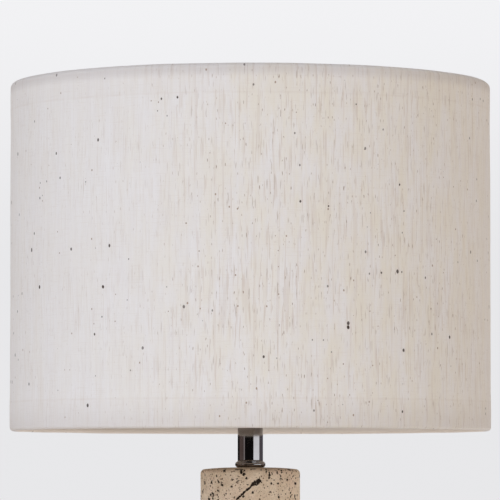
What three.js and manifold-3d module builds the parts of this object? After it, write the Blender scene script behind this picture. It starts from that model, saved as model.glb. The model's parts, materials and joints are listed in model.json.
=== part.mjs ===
// Table lamp: a round column and foot of speckled cast stone, a polished neck tube, a screw
// lampholder with its LED bulb, and a linen drum shade on a wire spider.
// Millimetres, +Z up. The foot's felt rests on z = 0, the lamp's axis is Z and the cable gland,
// which marks the rear, looks towards +Y.
import * as THREE from "three";
import { mergeVertices } from "three/addons/utils/BufferGeometryUtils.js";
import Module from "manifold-3d";

const wasm = await Module();
wasm.setup();

// ---- Driving sizes -------------------------------------------------------------------------

const FIT = 0.3; // clearance between pieces that meet on a round, screwed or moving face

const PAD = { thickness: 2, inset: 5 };
const FOOT = {
  diameter: 150,
  height: 24,
  topRound: 6,
  bottomRound: 1.5,
  recessDiameter: 46,
  recessDepth: 14,
};
const COLUMN = { diameter: 63, height: 231, topRound: 5.5, bottomRound: 1 };
const GLAND = {
  height: 8.5, // of its axis above the foot's underside
  bodyDiameter: 9.4,
  bodyLength: 14,
  flangeDiameter: 13,
  flangeThickness: 2.4,
  bore: 7,
  seatDepth: 1.4, // of the flat cut for the flange, from the foot's outermost point
};
const ROD = { diameter: 10, bore: 8, tail: 2, entry: 7.5 }; // M10 x 1 all-thread tube
const NUT = { wall: 1.7, thickness: 5 };
const LOCK_WASHER = { width: 3.7, thickness: 1.2, gap: 2 };
const WASHER = { width: 10.7, thickness: 1.5 };
const NECK = { diameter: 16, wall: 1, length: 28.7, edge: 0.3 };
const COLLAR = { overhang: 1.6, height: 4.3, beadRadius: 1.7, spigotDepth: 3, spigotWall: 0.9 };

const HOLDER = {
  diameter: 39, // over the thread that takes the shade rings
  wall: 1.9,
  bossWall: 4.7, // round the threaded tube
  bossHeight: 6,
  flareHeight: 15,
  capHeight: 22,
  capFloor: 9.5, // inside the cap, above its underside
  insertBottom: 14,
  insertTop: 24,
  shellWall: 0.5,
  shellHeight: 22,
  height: 50,
  shadeSeat: 27, // of the shade's fitter, above the underside of the cap
};
const LOCK_SCREW = { diameter: 4, height: 3.5, slotWidth: 0.8, slotDepth: 1 };
const TERMINAL = {
  diameter: 3,
  depth: 6,
  headDiameter: 5.5,
  headHeight: 2,
  offset: 9,
  slotWidth: 0.8,
  slotDepth: 0.8,
};
const WIRE_HOLE = 4; // in the insert, for each lead
const CONTACT = { width: 6, thickness: 0.6, foot: 6, reach: 9, rise: 2.8 };
const SHADE_RING = { width: 6.2, height: 4, grips: 24, gripDepth: 1 };

const BULB = {
  diameter: 60,
  length: 107,
  capDiameter: 26.2,
  capWall: 0.5,
  capHeight: 22.5,
  insulatorHeight: 7,
  contactDiameter: 9,
  contactHeight: 1.7,
  shoulder: 0.5, // of the body over the cap
  bodyHeight: 60, // of the body's rim above the tip
  plugDepth: 9.5, // of the body inside the cap
  wall: 1.5,
  ledge: 2,
  boardThickness: 1.6,
  boardDepth: 4, // of the LED board's seat below the body's rim
  driverWidth: 18,
  driverHeight: 30,
};

const SHADE = {
  diameter: 304,
  height: 220,
  cloth: 0.8,
  liner: 0.6,
  wire: 3,
  edgeRound: 2.5, // of the cloth, where it turns over a wire
  hem: 18,
  fitterRise: 37, // of the fitter's seat above the shade's lower edge
  fitterPlay: 1.5, // between the fitter and the holder's thread
  fitterWidth: 6.5,
  fitterThickness: 1.5,
};
const ARM = { inner: 7, outer: 14, bend: 8, notch: 1.2, angles: [90, 210, 330] };

const SEGMENTS = { drum: 72, round: 36, small: 20, arc: 4, wire: 6, armSteps: 18 };

// ---- Sizes that follow ---------------------------------------------------------------------

const padTop = PAD.thickness;
const footTop = padTop + FOOT.height;
const columnTop = footTop + COLUMN.height;
const collarTop = columnTop + COLLAR.height;
const holderBase = collarTop + NECK.length;

const rodRadius = ROD.diameter / 2;
const rodHole = rodRadius + FIT;
const recessTop = padTop + FOOT.recessDepth;
const washerBottom = recessTop - WASHER.thickness;
const nutTop = washerBottom - LOCK_WASHER.thickness;
const nutBottom = nutTop - NUT.thickness;

const boreRadius = rodHole + COLLAR.spigotWall + FIT; // of the column and the foot

const holderRadius = HOLDER.diameter / 2;
const cupRadius = holderRadius - HOLDER.wall;
const bossRadius = rodHole + HOLDER.bossWall;
const shellBore = BULB.capDiameter / 2 + FIT;
const shellRadius = shellBore + HOLDER.shellWall;
const shellBottom = holderBase + HOLDER.insertTop + FIT;

const fitterBottom = holderBase + HOLDER.shadeSeat;
const fitterTop = fitterBottom + SHADE.fitterThickness;
const fitterBore = holderRadius + SHADE.fitterPlay;
const fitterRadius = fitterBore + SHADE.fitterWidth;
const shadeBottom = fitterBottom - SHADE.fitterRise;

const bulbTip = holderBase + HOLDER.insertTop + CONTACT.thickness + CONTACT.rise + FIT;

// The cloth lies outside the liner, the liner outside the wires, and the hem turns round each wire.
const clothOuter = SHADE.diameter / 2;
const clothInner = clothOuter - SHADE.cloth;
const linerOuter = clothInner - FIT;
const linerInner = linerOuter - SHADE.liner;
const wireRadius = SHADE.wire / 2;
const wireCircle = linerInner - FIT - wireRadius;
const wireHeight = SHADE.cloth + FIT + wireRadius; // of a wire's centre from the shade's edge
const hemInner = wireRadius + FIT; // hem faces, measured from the wire's centre
const hemOuter = hemInner + SHADE.cloth;

// ---- Shape helpers -------------------------------------------------------------------------

/** A closed outline of [radius, height] points turned round Z. */
function turned(points, segments = SEGMENTS.round) {
  const outline = points.map(([radius, height]) => new THREE.Vector2(radius, height));
  if (points[0][0] > 0) outline.push(outline[0].clone());
  return new THREE.LatheGeometry(outline, segments).rotateX(Math.PI / 2);
}

/** A ring or disc between two radii and two heights; inner 0 makes it a disc. */
function ring(inner, outer, bottom, top, segments) {
  return turned([[inner, bottom], [outer, bottom], [outer, top], [inner, top]], segments);
}

/** Points of an arc about [x, y], angles in degrees, both ends included. */
function arc([x, y], radius, from, to, steps = SEGMENTS.arc) {
  return Array.from({ length: steps + 1 }, (_, i) => {
    const angle = THREE.MathUtils.degToRad(from + ((to - from) * i) / steps);
    return [x + radius * Math.cos(angle), y + radius * Math.sin(angle)];
  });
}

/** Points of a quadratic curve from start to end, pulled towards a control point. */
function curve(start, control, end, steps = SEGMENTS.arc + 1) {
  const path = new THREE.QuadraticBezierCurve(
    ...[start, control, end].map(([x, y]) => new THREE.Vector2(x, y)),
  );
  return path.getPoints(steps).map(({ x, y }) => [x, y]);
}

/** A flat outline, given as [x, y] points with optional holes, made into a plate. */
function plate(points, bottom, top, holes = []) {
  const shape = new THREE.Shape(points.map(([x, y]) => new THREE.Vector2(x, y)));
  shape.holes = holes.map((hole) => new THREE.Path(hole.map(([x, y]) => new THREE.Vector2(x, y))));
  const options = { depth: top - bottom, bevelEnabled: false };
  return new THREE.ExtrudeGeometry(shape, options).translate(0, 0, bottom);
}

/** Corners of a regular outline round the origin, first corner at the given angle. */
function corners(radius, count, first = 0) {
  return arc([0, 0], radius, first, first + 360, count).slice(0, count);
}

/** A round bar along Y, from one y to another, at a height. */
function barAlongY(radius, from, to, height) {
  const bar = new THREE.CylinderGeometry(radius, radius, to - from, SEGMENTS.small);
  return bar.translate(0, (from + to) / 2, height);
}

function box(width, depth, height, x, y, z) {
  return new THREE.BoxGeometry(width, depth, height).translate(x, y, z);
}

function toManifold(geometry) {
  const bare = geometry.clone();
  bare.deleteAttribute("normal");
  bare.deleteAttribute("uv");
  const merged = mergeVertices(bare, 1e-4);
  const vertProperties = new Float32Array(merged.attributes.position.array);
  const triVerts = new Uint32Array(merged.index.array);
  return new wasm.Manifold(new wasm.Mesh({ numProp: 3, vertProperties, triVerts }));
}

function toGeometry(manifold) {
  const mesh = manifold.getMesh();
  const geometry = new THREE.BufferGeometry();
  geometry.setAttribute("position", new THREE.BufferAttribute(mesh.vertProperties, 3));
  geometry.setIndex(new THREE.BufferAttribute(mesh.triVerts, 1));
  return geometry;
}

/** The body with every cutter taken away. */
function cut(body, ...cutters) {
  return toGeometry(cutters.reduce((left, c) => left.subtract(toManifold(c)), toManifold(body)));
}

// ---- Finishes ------------------------------------------------------------------------------

const finish = (color, roughness, metalness = 0) => ({ color, roughness, metalness });
const STONE = finish(0xb9a48c, 0.85);
const FELT = finish(0x4b4642, 1);
const BLACK_PLASTIC = finish(0x1d1c1c, 0.5);
const WHITE_PLASTIC = finish(0xf0eee8, 0.45);
const ZINC = finish(0xb4b5b3, 0.4, 1);
const DARK_CHROME = finish(0x8e8784, 0.12, 1);
const BRASS = finish(0xc2a35c, 0.3, 1);
const NICKEL = finish(0xcfcac0, 0.25, 1);
const WHITE_PAINT = finish(0xe8e6e1, 0.4);
const LINER_SHEET = finish(0xd9cdbd, 0.6);
const LINEN = finish(0xdcd5cf, 0.95);
const DIFFUSER = finish(0xf6f4ee, 0.35);
const DARK_GLASS = finish(0x22202a, 0.2);
const BOARD = finish(0xdfe0dc, 0.5);
const CIRCUIT = finish(0x2f6b46, 0.6);

const lamp = new THREE.Group();
lamp.name = "table_lamp";

function add(name, geometry, look) {
  const mesh = new THREE.Mesh(geometry, new THREE.MeshStandardMaterial(look));
  mesh.name = name;
  lamp.add(mesh);
}

// ---- Stand ---------------------------------------------------------------------------------

/** Outer side of a turned block, bottom to top, with both its edges rounded. */
function roundedSide(radius, bottom, top, bottomRound, topRound) {
  const low = arc([radius - bottomRound, bottom + bottomRound], bottomRound, -90, 0);
  const high = arc([radius - topRound, top - topRound], topRound, 0, 90, SEGMENTS.arc + 2);
  return [...low, ...high];
}

function footGeometry() {
  const radius = FOOT.diameter / 2;
  const recess = FOOT.recessDiameter / 2;
  const block = turned([
    [recess, padTop],
    ...roundedSide(radius, padTop, footTop, FOOT.bottomRound, FOOT.topRound),
    [boreRadius, footTop],
    [boreRadius, recessTop],
    [recess, recessTop],
  ]);
  const axis = padTop + GLAND.height;
  const channel = barAlongY(GLAND.bodyDiameter / 2 + FIT, recess / 2, radius + 1, axis);
  const seat = radius - GLAND.seatDepth;
  const spotFace = barAlongY(GLAND.flangeDiameter / 2 + 1, seat, radius + 1, axis);
  return cut(block, channel, spotFace);
}

function columnGeometry() {
  const side = roundedSide(
    COLUMN.diameter / 2, footTop, columnTop, COLUMN.bottomRound, COLUMN.topRound,
  );
  return turned([[boreRadius, footTop], ...side, [boreRadius, columnTop]]);
}

/** The gland is turned about Z, then laid so that its flange looks towards +Y. */
function glandGeometry() {
  const flange = GLAND.flangeDiameter / 2;
  const lip = GLAND.flangeThickness / 2;
  const outline = [
    [GLAND.bore / 2, -GLAND.bodyLength],
    [GLAND.bodyDiameter / 2, -GLAND.bodyLength],
    [GLAND.bodyDiameter / 2, 0],
    [flange, 0],
    ...arc([flange - lip, lip], lip, 0, 90),
    [GLAND.bore / 2, GLAND.flangeThickness],
  ];
  const seat = FOOT.diameter / 2 - GLAND.seatDepth;
  return turned(outline, SEGMENTS.small).rotateX(-Math.PI / 2)
    .translate(0, seat, padTop + GLAND.height);
}

function nutGeometry() {
  const hexagon = corners((rodHole + NUT.wall) / Math.cos(Math.PI / 6), 6, 30);
  return plate(hexagon, nutBottom, nutTop, [corners(rodHole, SEGMENTS.small)]);
}

/** A split ring: its gap looks towards +X. */
function lockWasherGeometry() {
  const outer = rodHole + LOCK_WASHER.width;
  const body = ring(rodHole, outer, nutTop, washerBottom, SEGMENTS.small);
  const gap = box(outer * 2, LOCK_WASHER.gap, LOCK_WASHER.thickness * 3, outer, 0, nutTop);
  return cut(body, gap);
}

/** A bead that sweeps up to the neck tube, with a spigot that centres it in the column. */
function collarGeometry() {
  const bead = COLLAR.beadRadius;
  const neckRadius = NECK.diameter / 2;
  const beadCentre = [neckRadius + COLLAR.overhang - bead, columnTop + bead];
  const side = arc(beadCentre, bead, -75, 35, SEGMENTS.arc + 1);
  const shoulder = side[side.length - 1];
  const sweep = curve(shoulder, [neckRadius + FIT, shoulder[1] + FIT], [neckRadius, collarTop], 4);
  const spigot = rodHole + COLLAR.spigotWall;
  return turned([
    [rodHole, columnTop - COLLAR.spigotDepth],
    [spigot, columnTop - COLLAR.spigotDepth],
    [spigot, columnTop],
    [side[0][0], columnTop],
    ...side,
    ...sweep.slice(1),
    [rodHole, collarTop],
  ]);
}

function neckGeometry() {
  const outer = NECK.diameter / 2;
  const inner = outer - NECK.wall;
  return turned([
    [inner, collarTop],
    [outer - NECK.edge, collarTop],
    [outer, collarTop + NECK.edge],
    [outer, holderBase - NECK.edge],
    [outer - NECK.edge, holderBase],
    [inner, holderBase],
  ]);
}

const padRadius = FOOT.diameter / 2 - PAD.inset;
add("foot_pad", new THREE.CylinderGeometry(padRadius, padRadius, PAD.thickness, SEGMENTS.round)
  .rotateX(Math.PI / 2).translate(0, 0, PAD.thickness / 2), FELT);
add("base_foot", footGeometry(), STONE);
add("base_column", columnGeometry(), STONE);
add("cable_gland", glandGeometry(), BLACK_PLASTIC);
add("bottom_washer", ring(rodHole, rodHole + WASHER.width, washerBottom, recessTop), ZINC);
add("bottom_lock_washer", lockWasherGeometry(), ZINC);
add("bottom_nut", nutGeometry(), ZINC);
add("threaded_tube", ring(
  ROD.bore / 2, rodRadius, nutBottom - ROD.tail, holderBase + ROD.entry, SEGMENTS.small,
), ZINC);
add("neck_collar", collarGeometry(), DARK_CHROME);
add("neck_tube", neckGeometry(), DARK_CHROME);

// ---- Lampholder ----------------------------------------------------------------------------

function holderCapGeometry() {
  const flare = curve(
    [bossRadius, holderBase + HOLDER.bossHeight],
    [holderRadius, holderBase + HOLDER.bossHeight + HOLDER.wall],
    [holderRadius, holderBase + HOLDER.flareHeight],
  );
  const floor = holderBase + HOLDER.capFloor;
  const hollow = curve(
    [cupRadius, holderBase + HOLDER.insertBottom - FIT], [cupRadius, floor], [bossRadius, floor],
  );
  const rim = holderBase + HOLDER.capHeight;
  const cap = turned([
    [rodHole, holderBase], [bossRadius, holderBase], ...flare,
    [holderRadius, rim], [cupRadius, rim], ...hollow, [rodHole, floor],
  ]);
  const hole = barAlongY(
    LOCK_SCREW.diameter / 2 + FIT, rodRadius, bossRadius + 1, holderBase + LOCK_SCREW.height,
  );
  return cut(cap, hole);
}

/** A grub screw that stops the cap from turning on the threaded tube. */
function lockScrewGeometry() {
  const end = bossRadius - FIT;
  const axis = holderBase + LOCK_SCREW.height;
  const screw = barAlongY(LOCK_SCREW.diameter / 2, rodHole, end, axis);
  const slot = box(
    LOCK_SCREW.slotWidth, LOCK_SCREW.slotDepth * 2, LOCK_SCREW.diameter * 2, 0, end, axis,
  );
  return cut(screw, slot);
}

function insertGeometry() {
  const bottom = holderBase + HOLDER.insertBottom;
  const top = holderBase + HOLDER.insertTop;
  const body = ring(0, cupRadius - FIT, bottom, top);
  const holes = [];
  for (const side of [-1, 1]) {
    holes.push(ring(0, TERMINAL.diameter / 2 + FIT, bottom - 1, bottom + TERMINAL.depth + FIT,
      SEGMENTS.small).translate(side * TERMINAL.offset, 0, 0));
    holes.push(ring(0, WIRE_HOLE / 2, bottom - 1, top + 1, SEGMENTS.small)
      .translate(0, side * TERMINAL.offset, 0));
  }
  return cut(body, ...holes);
}

function terminalGeometry(side) {
  const seat = holderBase + HOLDER.insertBottom;
  const low = seat - TERMINAL.headHeight;
  const head = TERMINAL.headDiameter / 2;
  const shank = TERMINAL.diameter / 2;
  const screw = turned([
    [0, low], [head, low], [head, seat], [shank, seat],
    [shank, seat + TERMINAL.depth], [0, seat + TERMINAL.depth],
  ], SEGMENTS.small);
  const slot = box(
    TERMINAL.headDiameter * 2, TERMINAL.slotWidth, TERMINAL.slotDepth * 2, 0, 0, low,
  );
  return cut(screw, slot).translate(side * TERMINAL.offset, 0, 0);
}

/** A strip that lies on the insert and springs up to the bulb's contact. */
function contactGeometry() {
  const { thickness, reach, foot, rise, width } = CONTACT;
  const line = [[-reach, 0], [foot - reach, 0], [foot / 2, rise], [foot, rise / 2]];
  const strip = [
    ...line,
    ...line.map(([x, z]) => [x, z + thickness]).reverse(),
  ];
  return plate(strip, -width / 2, width / 2).rotateX(Math.PI / 2)
    .translate(0, 0, holderBase + HOLDER.insertTop);
}

function skirtGeometry() {
  const bottom = holderBase + HOLDER.capHeight;
  const step = shellBottom;
  const top = holderBase + HOLDER.height;
  const throat = shellRadius + FIT;
  return turned([
    [cupRadius, bottom], [holderRadius, bottom], [holderRadius, top - 1],
    [holderRadius - 1, top], [throat, top], [throat, step], [cupRadius, step],
  ]);
}

/** A shade ring: screwed on the holder, with grips round its rim. */
function shadeRingGeometry(bottom) {
  const outer = holderRadius + FIT + SHADE_RING.width;
  const pitch = 360 / SHADE_RING.grips;
  const rim = [];
  for (let i = 0; i < SHADE_RING.grips; i += 1) {
    const start = i * pitch;
    rim.push(...arc([0, 0], outer, start, start + pitch * 0.6, 1));
    rim.push(...arc([0, 0], outer - SHADE_RING.gripDepth, start + pitch * 0.7,
      start + pitch * 0.9, 1));
  }
  const hole = corners(holderRadius + FIT, SEGMENTS.round);
  return plate(rim, bottom, bottom + SHADE_RING.height, [hole]);
}

add("holder_cap", holderCapGeometry(), BLACK_PLASTIC);
add("holder_lock_screw", lockScrewGeometry(), ZINC);
add("holder_insert", insertGeometry(), WHITE_PLASTIC);
add("terminal_screw_1", terminalGeometry(-1), BRASS);
add("terminal_screw_2", terminalGeometry(1), BRASS);
add("centre_contact", contactGeometry(), BRASS);
add("screw_shell", ring(
  shellBore, shellRadius, shellBottom, shellBottom + HOLDER.shellHeight,
), BRASS);
add("holder_skirt", skirtGeometry(), BLACK_PLASTIC);
add("lower_shade_ring", shadeRingGeometry(fitterBottom - FIT - SHADE_RING.height), BLACK_PLASTIC);
add("upper_shade_ring", shadeRingGeometry(fitterTop + FIT), BLACK_PLASTIC);

// ---- Bulb ----------------------------------------------------------------------------------

const contactRadius = BULB.contactDiameter / 2;
const insulatorBottom = bulbTip + BULB.contactHeight + FIT;
const capRadius = BULB.capDiameter / 2;
const capInner = capRadius - BULB.capWall;
const capBottom = insulatorBottom + FIT * 6;
const capTop = capBottom + BULB.capHeight;
const plugRadius = capInner - FIT;
const bulbRim = bulbTip + BULB.bodyHeight;
const globeRadius = BULB.diameter / 2;
const globeCentre = bulbTip + BULB.length - globeRadius;
const globeDrop = Math.asin((globeCentre - bulbRim) / globeRadius);
const rimRadius = globeRadius * Math.cos(globeDrop);
const boardSeat = bulbRim - BULB.boardDepth;
const boardRadius = rimRadius - BULB.wall * 3;

function insulatorGeometry() {
  const top = insulatorBottom + BULB.insulatorHeight;
  const slope = capInner * 0.8;
  return turned([
    [0, insulatorBottom], [contactRadius, insulatorBottom],
    [slope, capBottom], [plugRadius, capBottom + BULB.capWall * 5],
    [plugRadius, top], [0, top],
  ], SEGMENTS.round);
}

function bulbCapGeometry() {
  const mouth = capInner * 0.8 + FIT * 2;
  const shoulder = capBottom + BULB.capWall * 4;
  return turned([
    [mouth, capBottom], [mouth + BULB.capWall, capBottom], [capRadius, shoulder],
    [capRadius, capTop], [capInner, capTop], [capInner, shoulder + BULB.capWall],
  ]);
}

/** The bulb's plastic body: a plug in the cap, then a shell that widens as far as the globe. */
function bulbBodyGeometry() {
  const neck = capRadius + BULB.shoulder;
  const shoulder = capTop + FIT;
  const plug = capTop - BULB.plugDepth;
  const span = bulbRim - shoulder;
  const lean = (span * 0.4) * Math.tan(globeDrop);
  const outside = curve(
    [neck, shoulder], [rimRadius - lean, bulbRim - span * 0.4], [rimRadius, bulbRim],
  );
  const throat = plugRadius - BULB.wall;
  const ledge = boardRadius + FIT - BULB.ledge;
  const inside = curve(
    [ledge, boardSeat], [throat, boardSeat - span * 0.4], [throat, shoulder],
  );
  return turned([
    [throat, plug], [plugRadius, plug], [plugRadius, shoulder], ...outside,
    [boardRadius + FIT, bulbRim], [boardRadius + FIT, boardSeat], ...inside,
  ]);
}

/** The frosted globe, open at the body's rim. */
function diffuserGeometry() {
  const drop = THREE.MathUtils.radToDeg(globeDrop);
  const steps = SEGMENTS.arc * 2;
  const outside = arc([0, globeCentre], globeRadius, -drop, 90, steps).slice(0, -1);
  const inside = arc([0, globeCentre], globeRadius - BULB.wall, 90, -drop, steps).slice(1);
  const skin = turned([
    [0, globeCentre + globeRadius - BULB.wall], ...inside, ...outside,
    [0, globeCentre + globeRadius],
  ]);
  return skin.translate(0, 0, FIT);
}

add("bulb_contact", turned([
  [0, bulbTip], [contactRadius * 0.6, bulbTip], [contactRadius, bulbTip + BULB.contactHeight / 2],
  [contactRadius, bulbTip + BULB.contactHeight], [0, bulbTip + BULB.contactHeight],
], SEGMENTS.small), NICKEL);
add("bulb_insulator", insulatorGeometry(), DARK_GLASS);
add("bulb_cap", bulbCapGeometry(), NICKEL);
add("bulb_body", bulbBodyGeometry(), WHITE_PLASTIC);
add("led_board", ring(0, boardRadius, boardSeat, boardSeat + BULB.boardThickness), BOARD);
add("driver_board", box(
  BULB.driverWidth, BULB.boardThickness, BULB.driverHeight,
  0, 0, capTop - BULB.plugDepth + BULB.driverHeight / 2,
), CIRCUIT);
add("bulb_diffuser", diffuserGeometry(), DIFFUSER);

// ---- Shade ---------------------------------------------------------------------------------

/**
 * One end of the cloth's section, as [radius, height above the edge] points in two runs.
 * "shown" goes from the outer wall round the wire and up the turned-in hem, "hidden" comes back.
 */
function hemRuns() {
  const wire = [wireCircle, wireHeight];
  const corner = [clothOuter - SHADE.edgeRound, SHADE.edgeRound];
  const flapInner = linerInner - FIT - SHADE.cloth;
  const flapOuter = linerInner - FIT;
  const degrees = (radius, reach) => THREE.MathUtils.radToDeg(Math.acos(reach / radius));
  const shown = [
    ...arc(corner, SHADE.edgeRound, 0, -90, 3),
    ...arc(wire, hemOuter, 270, degrees(hemOuter, flapInner - wireCircle)),
    [flapInner, SHADE.hem],
  ];
  const hidden = [
    [flapOuter, SHADE.hem],
    ...arc(wire, hemInner, degrees(hemInner, flapOuter - wireCircle), 270),
    ...arc(corner, SHADE.edgeRound - SHADE.cloth, -90, 0, 3),
  ];
  return [...shown, ...hidden];
}

function coverGeometry() {
  const lower = hemRuns().map(([radius, height]) => [radius, shadeBottom + height]);
  const upper = hemRuns().map(([radius, height]) => [radius, shadeBottom + SHADE.height - height]);
  const cloth = turned([...lower.reverse(), ...upper], SEGMENTS.drum);
  const slots = ARM.angles.map((angle) => {
    const inner = wireCircle - hemOuter - 1;
    const depth = linerInner - inner;
    const slot = box(
      depth, SHADE.wire + ARM.notch, SHADE.hem,
      inner + depth / 2, 0, shadeBottom + SHADE.cloth + SHADE.hem / 2 + FIT / 2,
    );
    return slot.rotateZ(THREE.MathUtils.degToRad(angle));
  });
  return cut(cloth, ...slots);
}

/** A wire arm: level off the fitter, down to the lower ring's height and level to the ring. */
function armGeometry(angle) {
  const high = fitterBottom + SHADE.fitterThickness / 2;
  const low = shadeBottom + wireHeight;
  const start = new THREE.Vector3(fitterRadius + FIT, 0, high);
  const end = new THREE.Vector3(wireCircle - wireRadius - FIT, 0, low);
  const knee = new THREE.Vector3(start.x + ARM.inner, 0, high);
  const heel = new THREE.Vector3(end.x - ARM.outer, 0, low);
  const slope = heel.clone().sub(knee).normalize().multiplyScalar(ARM.bend / 2);
  const inward = new THREE.Vector3(ARM.bend / 2, 0, 0);
  const route = new THREE.CurvePath();
  const stops = [
    knee.clone().sub(inward), knee.clone().add(slope),
    heel.clone().sub(slope), heel.clone().add(inward),
  ];
  route.add(new THREE.LineCurve3(start, stops[0]));
  route.add(new THREE.QuadraticBezierCurve3(stops[0], knee, stops[1]));
  route.add(new THREE.LineCurve3(stops[1], stops[2]));
  route.add(new THREE.QuadraticBezierCurve3(stops[2], heel, stops[3]));
  route.add(new THREE.LineCurve3(stops[3], end));
  const section = new THREE.Shape(
    corners(wireRadius, SEGMENTS.wire).map(([x, y]) => new THREE.Vector2(x, y)),
  );
  const options = { steps: SEGMENTS.armSteps, extrudePath: route, bevelEnabled: false };
  return new THREE.ExtrudeGeometry(section, options).rotateZ(THREE.MathUtils.degToRad(angle));
}

function wireRingGeometry(height) {
  const torus = new THREE.TorusGeometry(wireCircle, wireRadius, SEGMENTS.wire, SEGMENTS.drum);
  return torus.translate(0, 0, height);
}

const shadeTop = shadeBottom + SHADE.height;
add("fitter_ring", ring(fitterBore, fitterRadius, fitterBottom, fitterTop), WHITE_PAINT);
ARM.angles.forEach((angle, i) => add(`fitter_arm_${i + 1}`, armGeometry(angle), WHITE_PAINT));
add("bottom_wire_ring", wireRingGeometry(shadeBottom + wireHeight), WHITE_PAINT);
add("top_wire_ring", wireRingGeometry(shadeTop - wireHeight), WHITE_PAINT);
add("shade_liner", ring(
  linerInner, linerOuter, shadeBottom + wireHeight, shadeTop - wireHeight, SEGMENTS.drum,
), LINER_SHEET);
add("linen_cover", coverGeometry(), LINEN);

export default lamp;
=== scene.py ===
"""Looks for a table lamp with a linen drum shade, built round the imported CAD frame.

Metres, +Z up, the lamp's axis on Z and its front towards -Y, as in the frame. Each sub-assembly
is a class with its sizes as fields, each finish is a small class that makes its own material,
and main() builds them in order.
"""

import json
import logging
import math
from collections.abc import Callable, Sequence
from dataclasses import dataclass
from enum import Enum
from functools import cache

import bpy
import numpy as np
from mathutils import Matrix, Vector, noise

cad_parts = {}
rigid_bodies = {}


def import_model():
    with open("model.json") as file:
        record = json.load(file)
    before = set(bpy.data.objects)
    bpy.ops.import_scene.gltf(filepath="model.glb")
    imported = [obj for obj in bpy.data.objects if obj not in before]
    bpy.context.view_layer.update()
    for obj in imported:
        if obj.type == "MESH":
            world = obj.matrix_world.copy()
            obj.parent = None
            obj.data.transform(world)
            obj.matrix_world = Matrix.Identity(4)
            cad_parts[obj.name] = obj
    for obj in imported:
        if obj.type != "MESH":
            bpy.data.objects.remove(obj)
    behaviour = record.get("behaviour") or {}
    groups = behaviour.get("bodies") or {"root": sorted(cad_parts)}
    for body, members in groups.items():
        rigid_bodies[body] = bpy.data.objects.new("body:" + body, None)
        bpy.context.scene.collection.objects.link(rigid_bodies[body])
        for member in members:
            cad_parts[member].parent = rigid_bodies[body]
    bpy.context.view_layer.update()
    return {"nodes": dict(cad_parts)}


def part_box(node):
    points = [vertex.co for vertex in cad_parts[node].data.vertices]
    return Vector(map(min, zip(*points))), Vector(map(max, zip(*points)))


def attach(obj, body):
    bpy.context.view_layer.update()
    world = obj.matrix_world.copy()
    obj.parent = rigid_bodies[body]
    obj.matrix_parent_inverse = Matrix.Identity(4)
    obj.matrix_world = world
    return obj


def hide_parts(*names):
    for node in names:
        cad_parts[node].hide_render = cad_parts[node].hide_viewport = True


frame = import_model()

LOG = logging.getLogger("table_lamp")

Point = tuple[float, float]
Spot = tuple[float, float, float]
Outline = list[Point]
Colour = tuple[float, float, float]
Ripple = Callable[[float, float, float], float]
TURN = 2 * math.pi


class Body(Enum):
    """The frame's bodies, by what they carry."""

    STAND = "stand"
    SHADE = "shade"
    UPPER_RING = "upper_ring"
    BULB_CARRIER = "bulb_carrier"
    BULB = "bulb"


@dataclass(frozen=True)
class Span:
    """The room that a CAD node takes, as a round piece on the lamp's axis sees it."""

    radius: float
    bottom: float
    top: float

    @classmethod
    def of(cls, node: str) -> "Span":
        """Returns the span of a CAD node.

        Args:
            node: the node's name.
        """
        low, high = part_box(node)
        return cls((high[0] - low[0]) / 2, low[2], high[2])

    @property
    def height(self) -> float:
        """The node's height."""
        return self.top - self.bottom

    @property
    def middle(self) -> float:
        """The height of the node's middle."""
        return (self.top + self.bottom) / 2


# ---- Node trees ------------------------------------------------------------------------------


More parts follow.
